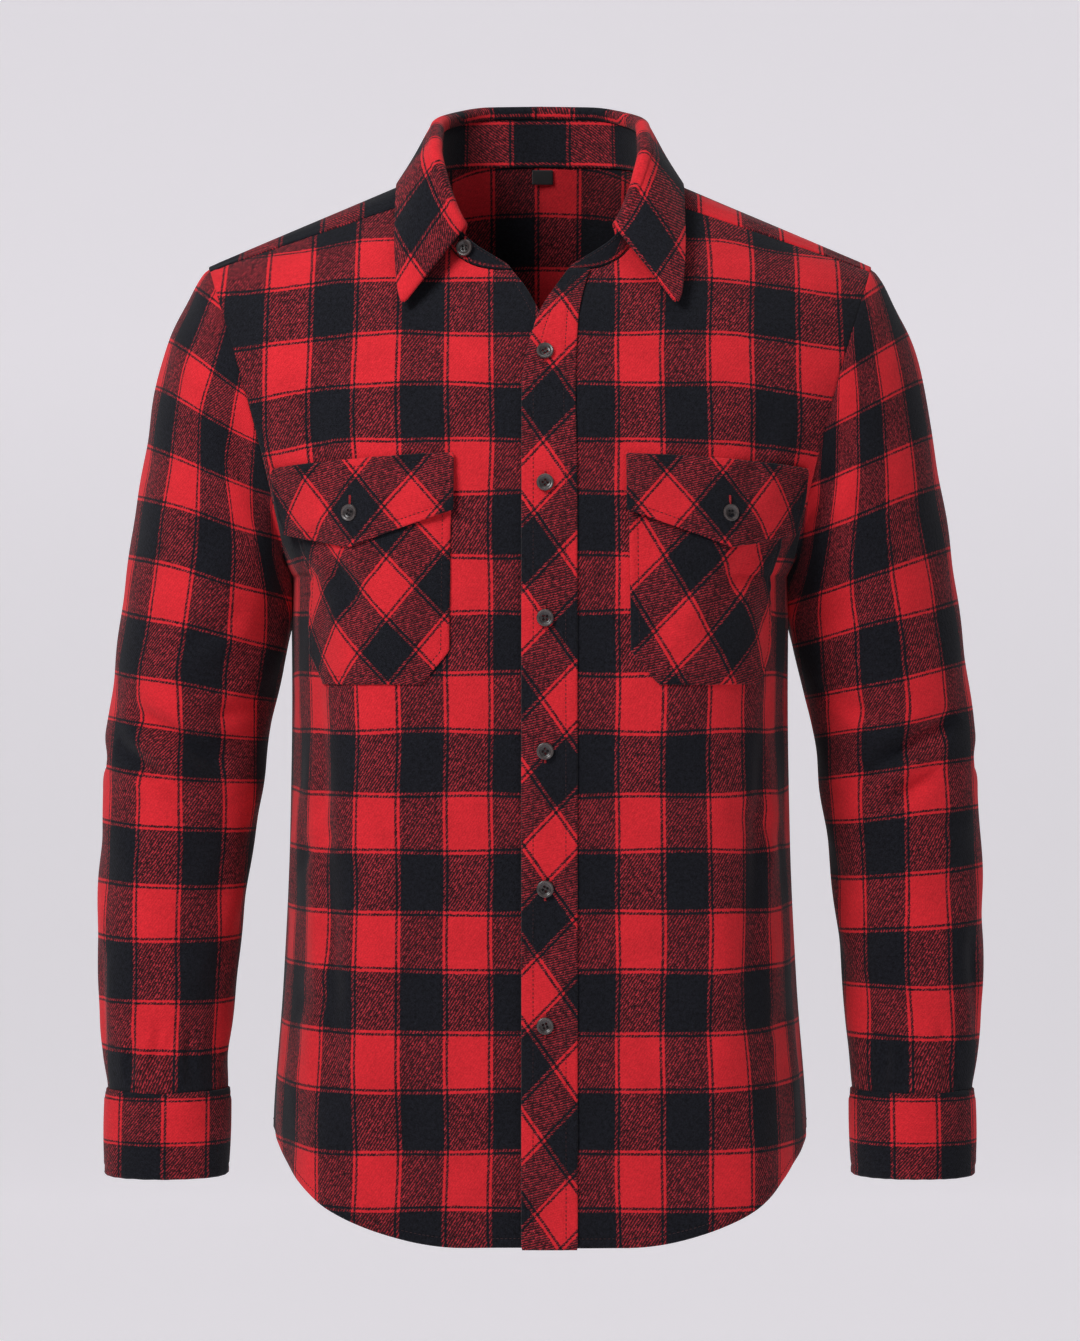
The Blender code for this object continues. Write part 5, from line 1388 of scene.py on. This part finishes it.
def tape_finish():
    """Black satin tape with fine ribs."""
    tape = Finish("tab_tape", Roughness=0.7, Sheen_Weight=0.2)
    threads = tape.add("ShaderNodeUVMap", {"uv_map": "cloth"}, {})
    rib = tape.add("ShaderNodeTexWave", {"bands_direction": "Y"},
                   {"Vector": threads, "Scale": 900.0, "Distortion": 0.6})
    colour = tape.mixed(dyed(12, 12, 14), dyed(34, 34, 38), rib * 0.7)
    bump = tape.add("ShaderNodeBump", {}, {"Strength": 0.4, "Distance": 0.0002, "Height": rib})
    tape.feed(Base_Color=colour, Normal=bump)
    return tape.material


low, high = [np.array(corner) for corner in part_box("size_tab")]
corners = solid_points("size_tab")
lower, upper = corners[corners[:, 2] < low[2] + TAB_RIM], corners[corners[:, 2] > high[2] - TAB_RIM]
across, part = np.meshgrid(np.linspace(low[0], high[0], TAB_COLUMNS), np.linspace(0, 1, TAB_ROWS))
y = blend(lower[:, 1].min(), upper[:, 1].min(), part) - TAB_BOW * np.sin(pi * part)
outer = together(across, y, blend(low[2], high[2], part))
sewn("size_tab", "tab", outer, together(across, part * TAB_LENGTH), TAB_WALL, tape_finish(), kind="tape",
     held="folded", rests_on=["yoke_cloth"])

# ---------------------------------------------------------------- studio
# A seamless pale sweep stands behind and below the shirt, lit by large soft lamps, the
# strongest from the front on the wearer's right.

BACKDROP = dyed(222, 219, 223)
EYE_DISTANCE, EYE_HEIGHT = 3.0, -0.333
FRAME_HEIGHT = 0.939
SENSOR = 36.0


def sweep():
    """Floor that curves up into a wall."""
    turn = np.radians(np.linspace(0, 90, 24))
    bend_radius, floor_z, wall_y = 1.6, -1.25, 6.0
    y = np.concatenate([[-8.0, 0.0], wall_y - bend_radius + bend_radius * np.sin(turn), [wall_y]])
    z = np.concatenate([[floor_z, floor_z], floor_z + bend_radius * (1 - np.cos(turn)), [6.0]])
    points = [(x, a, b) for a, b in zip(y, z) for x in (-9.0, 9.0)]
    faces = [(2 * i, 2 * i + 1, 2 * i + 3, 2 * i + 2) for i in range(len(y) - 1)]
    mesh = mesh_of("sweep", points, faces)
    mesh.shade_smooth()
    paper = Finish("paper", Roughness=0.95, Base_Color=BACKDROP, Emission_Color=BACKDROP,
                   Emission_Strength=0.585)
    mesh.materials.append(paper.material)
    placed("sweep", mesh)


def lamp(name, place, aim, size, power):
    """Large soft lamp that faces the shirt."""
    light = bpy.data.lights.new(name, "AREA")
    light.shape = "SQUARE"
    light.size = size
    light.energy = power
    item = placed(name, light)
    item.location = place
    item.rotation_euler = (Vector(aim) - Vector(place)).to_track_quat("-Z", "Y").to_euler()


sweep()
lamp("key", (-1.22, -1.62, 1.12), (0, 0, -0.06), 0.9, 40)
lamp("fill", (2.2, -3.0, 0.6), (0, 0, -0.20), 2.0, 6)
lamp("top", (0.0, -0.4, 2.2), (0, 0, -0.1), 1.6, 14)
world = bpy.data.worlds.new("studio")
world.use_nodes = True
sky = world.node_tree.nodes["Background"].inputs
sky["Color"].default_value = (0.93, 0.93, 0.97, 1)
sky["Strength"].default_value = 0.145
bpy.context.scene.world = world

eye = bpy.data.cameras.new("camera")
eye.sensor_fit = "VERTICAL"
eye.sensor_height = SENSOR
eye.lens = SENSOR * EYE_DISTANCE / FRAME_HEIGHT
camera = placed("camera", eye)
camera.location = (0, -EYE_DISTANCE, EYE_HEIGHT)
camera.rotation_euler = (radians(90), 0, 0)
bpy.context.scene.camera = camera
bpy.context.scene.view_settings.view_transform = "Standard"
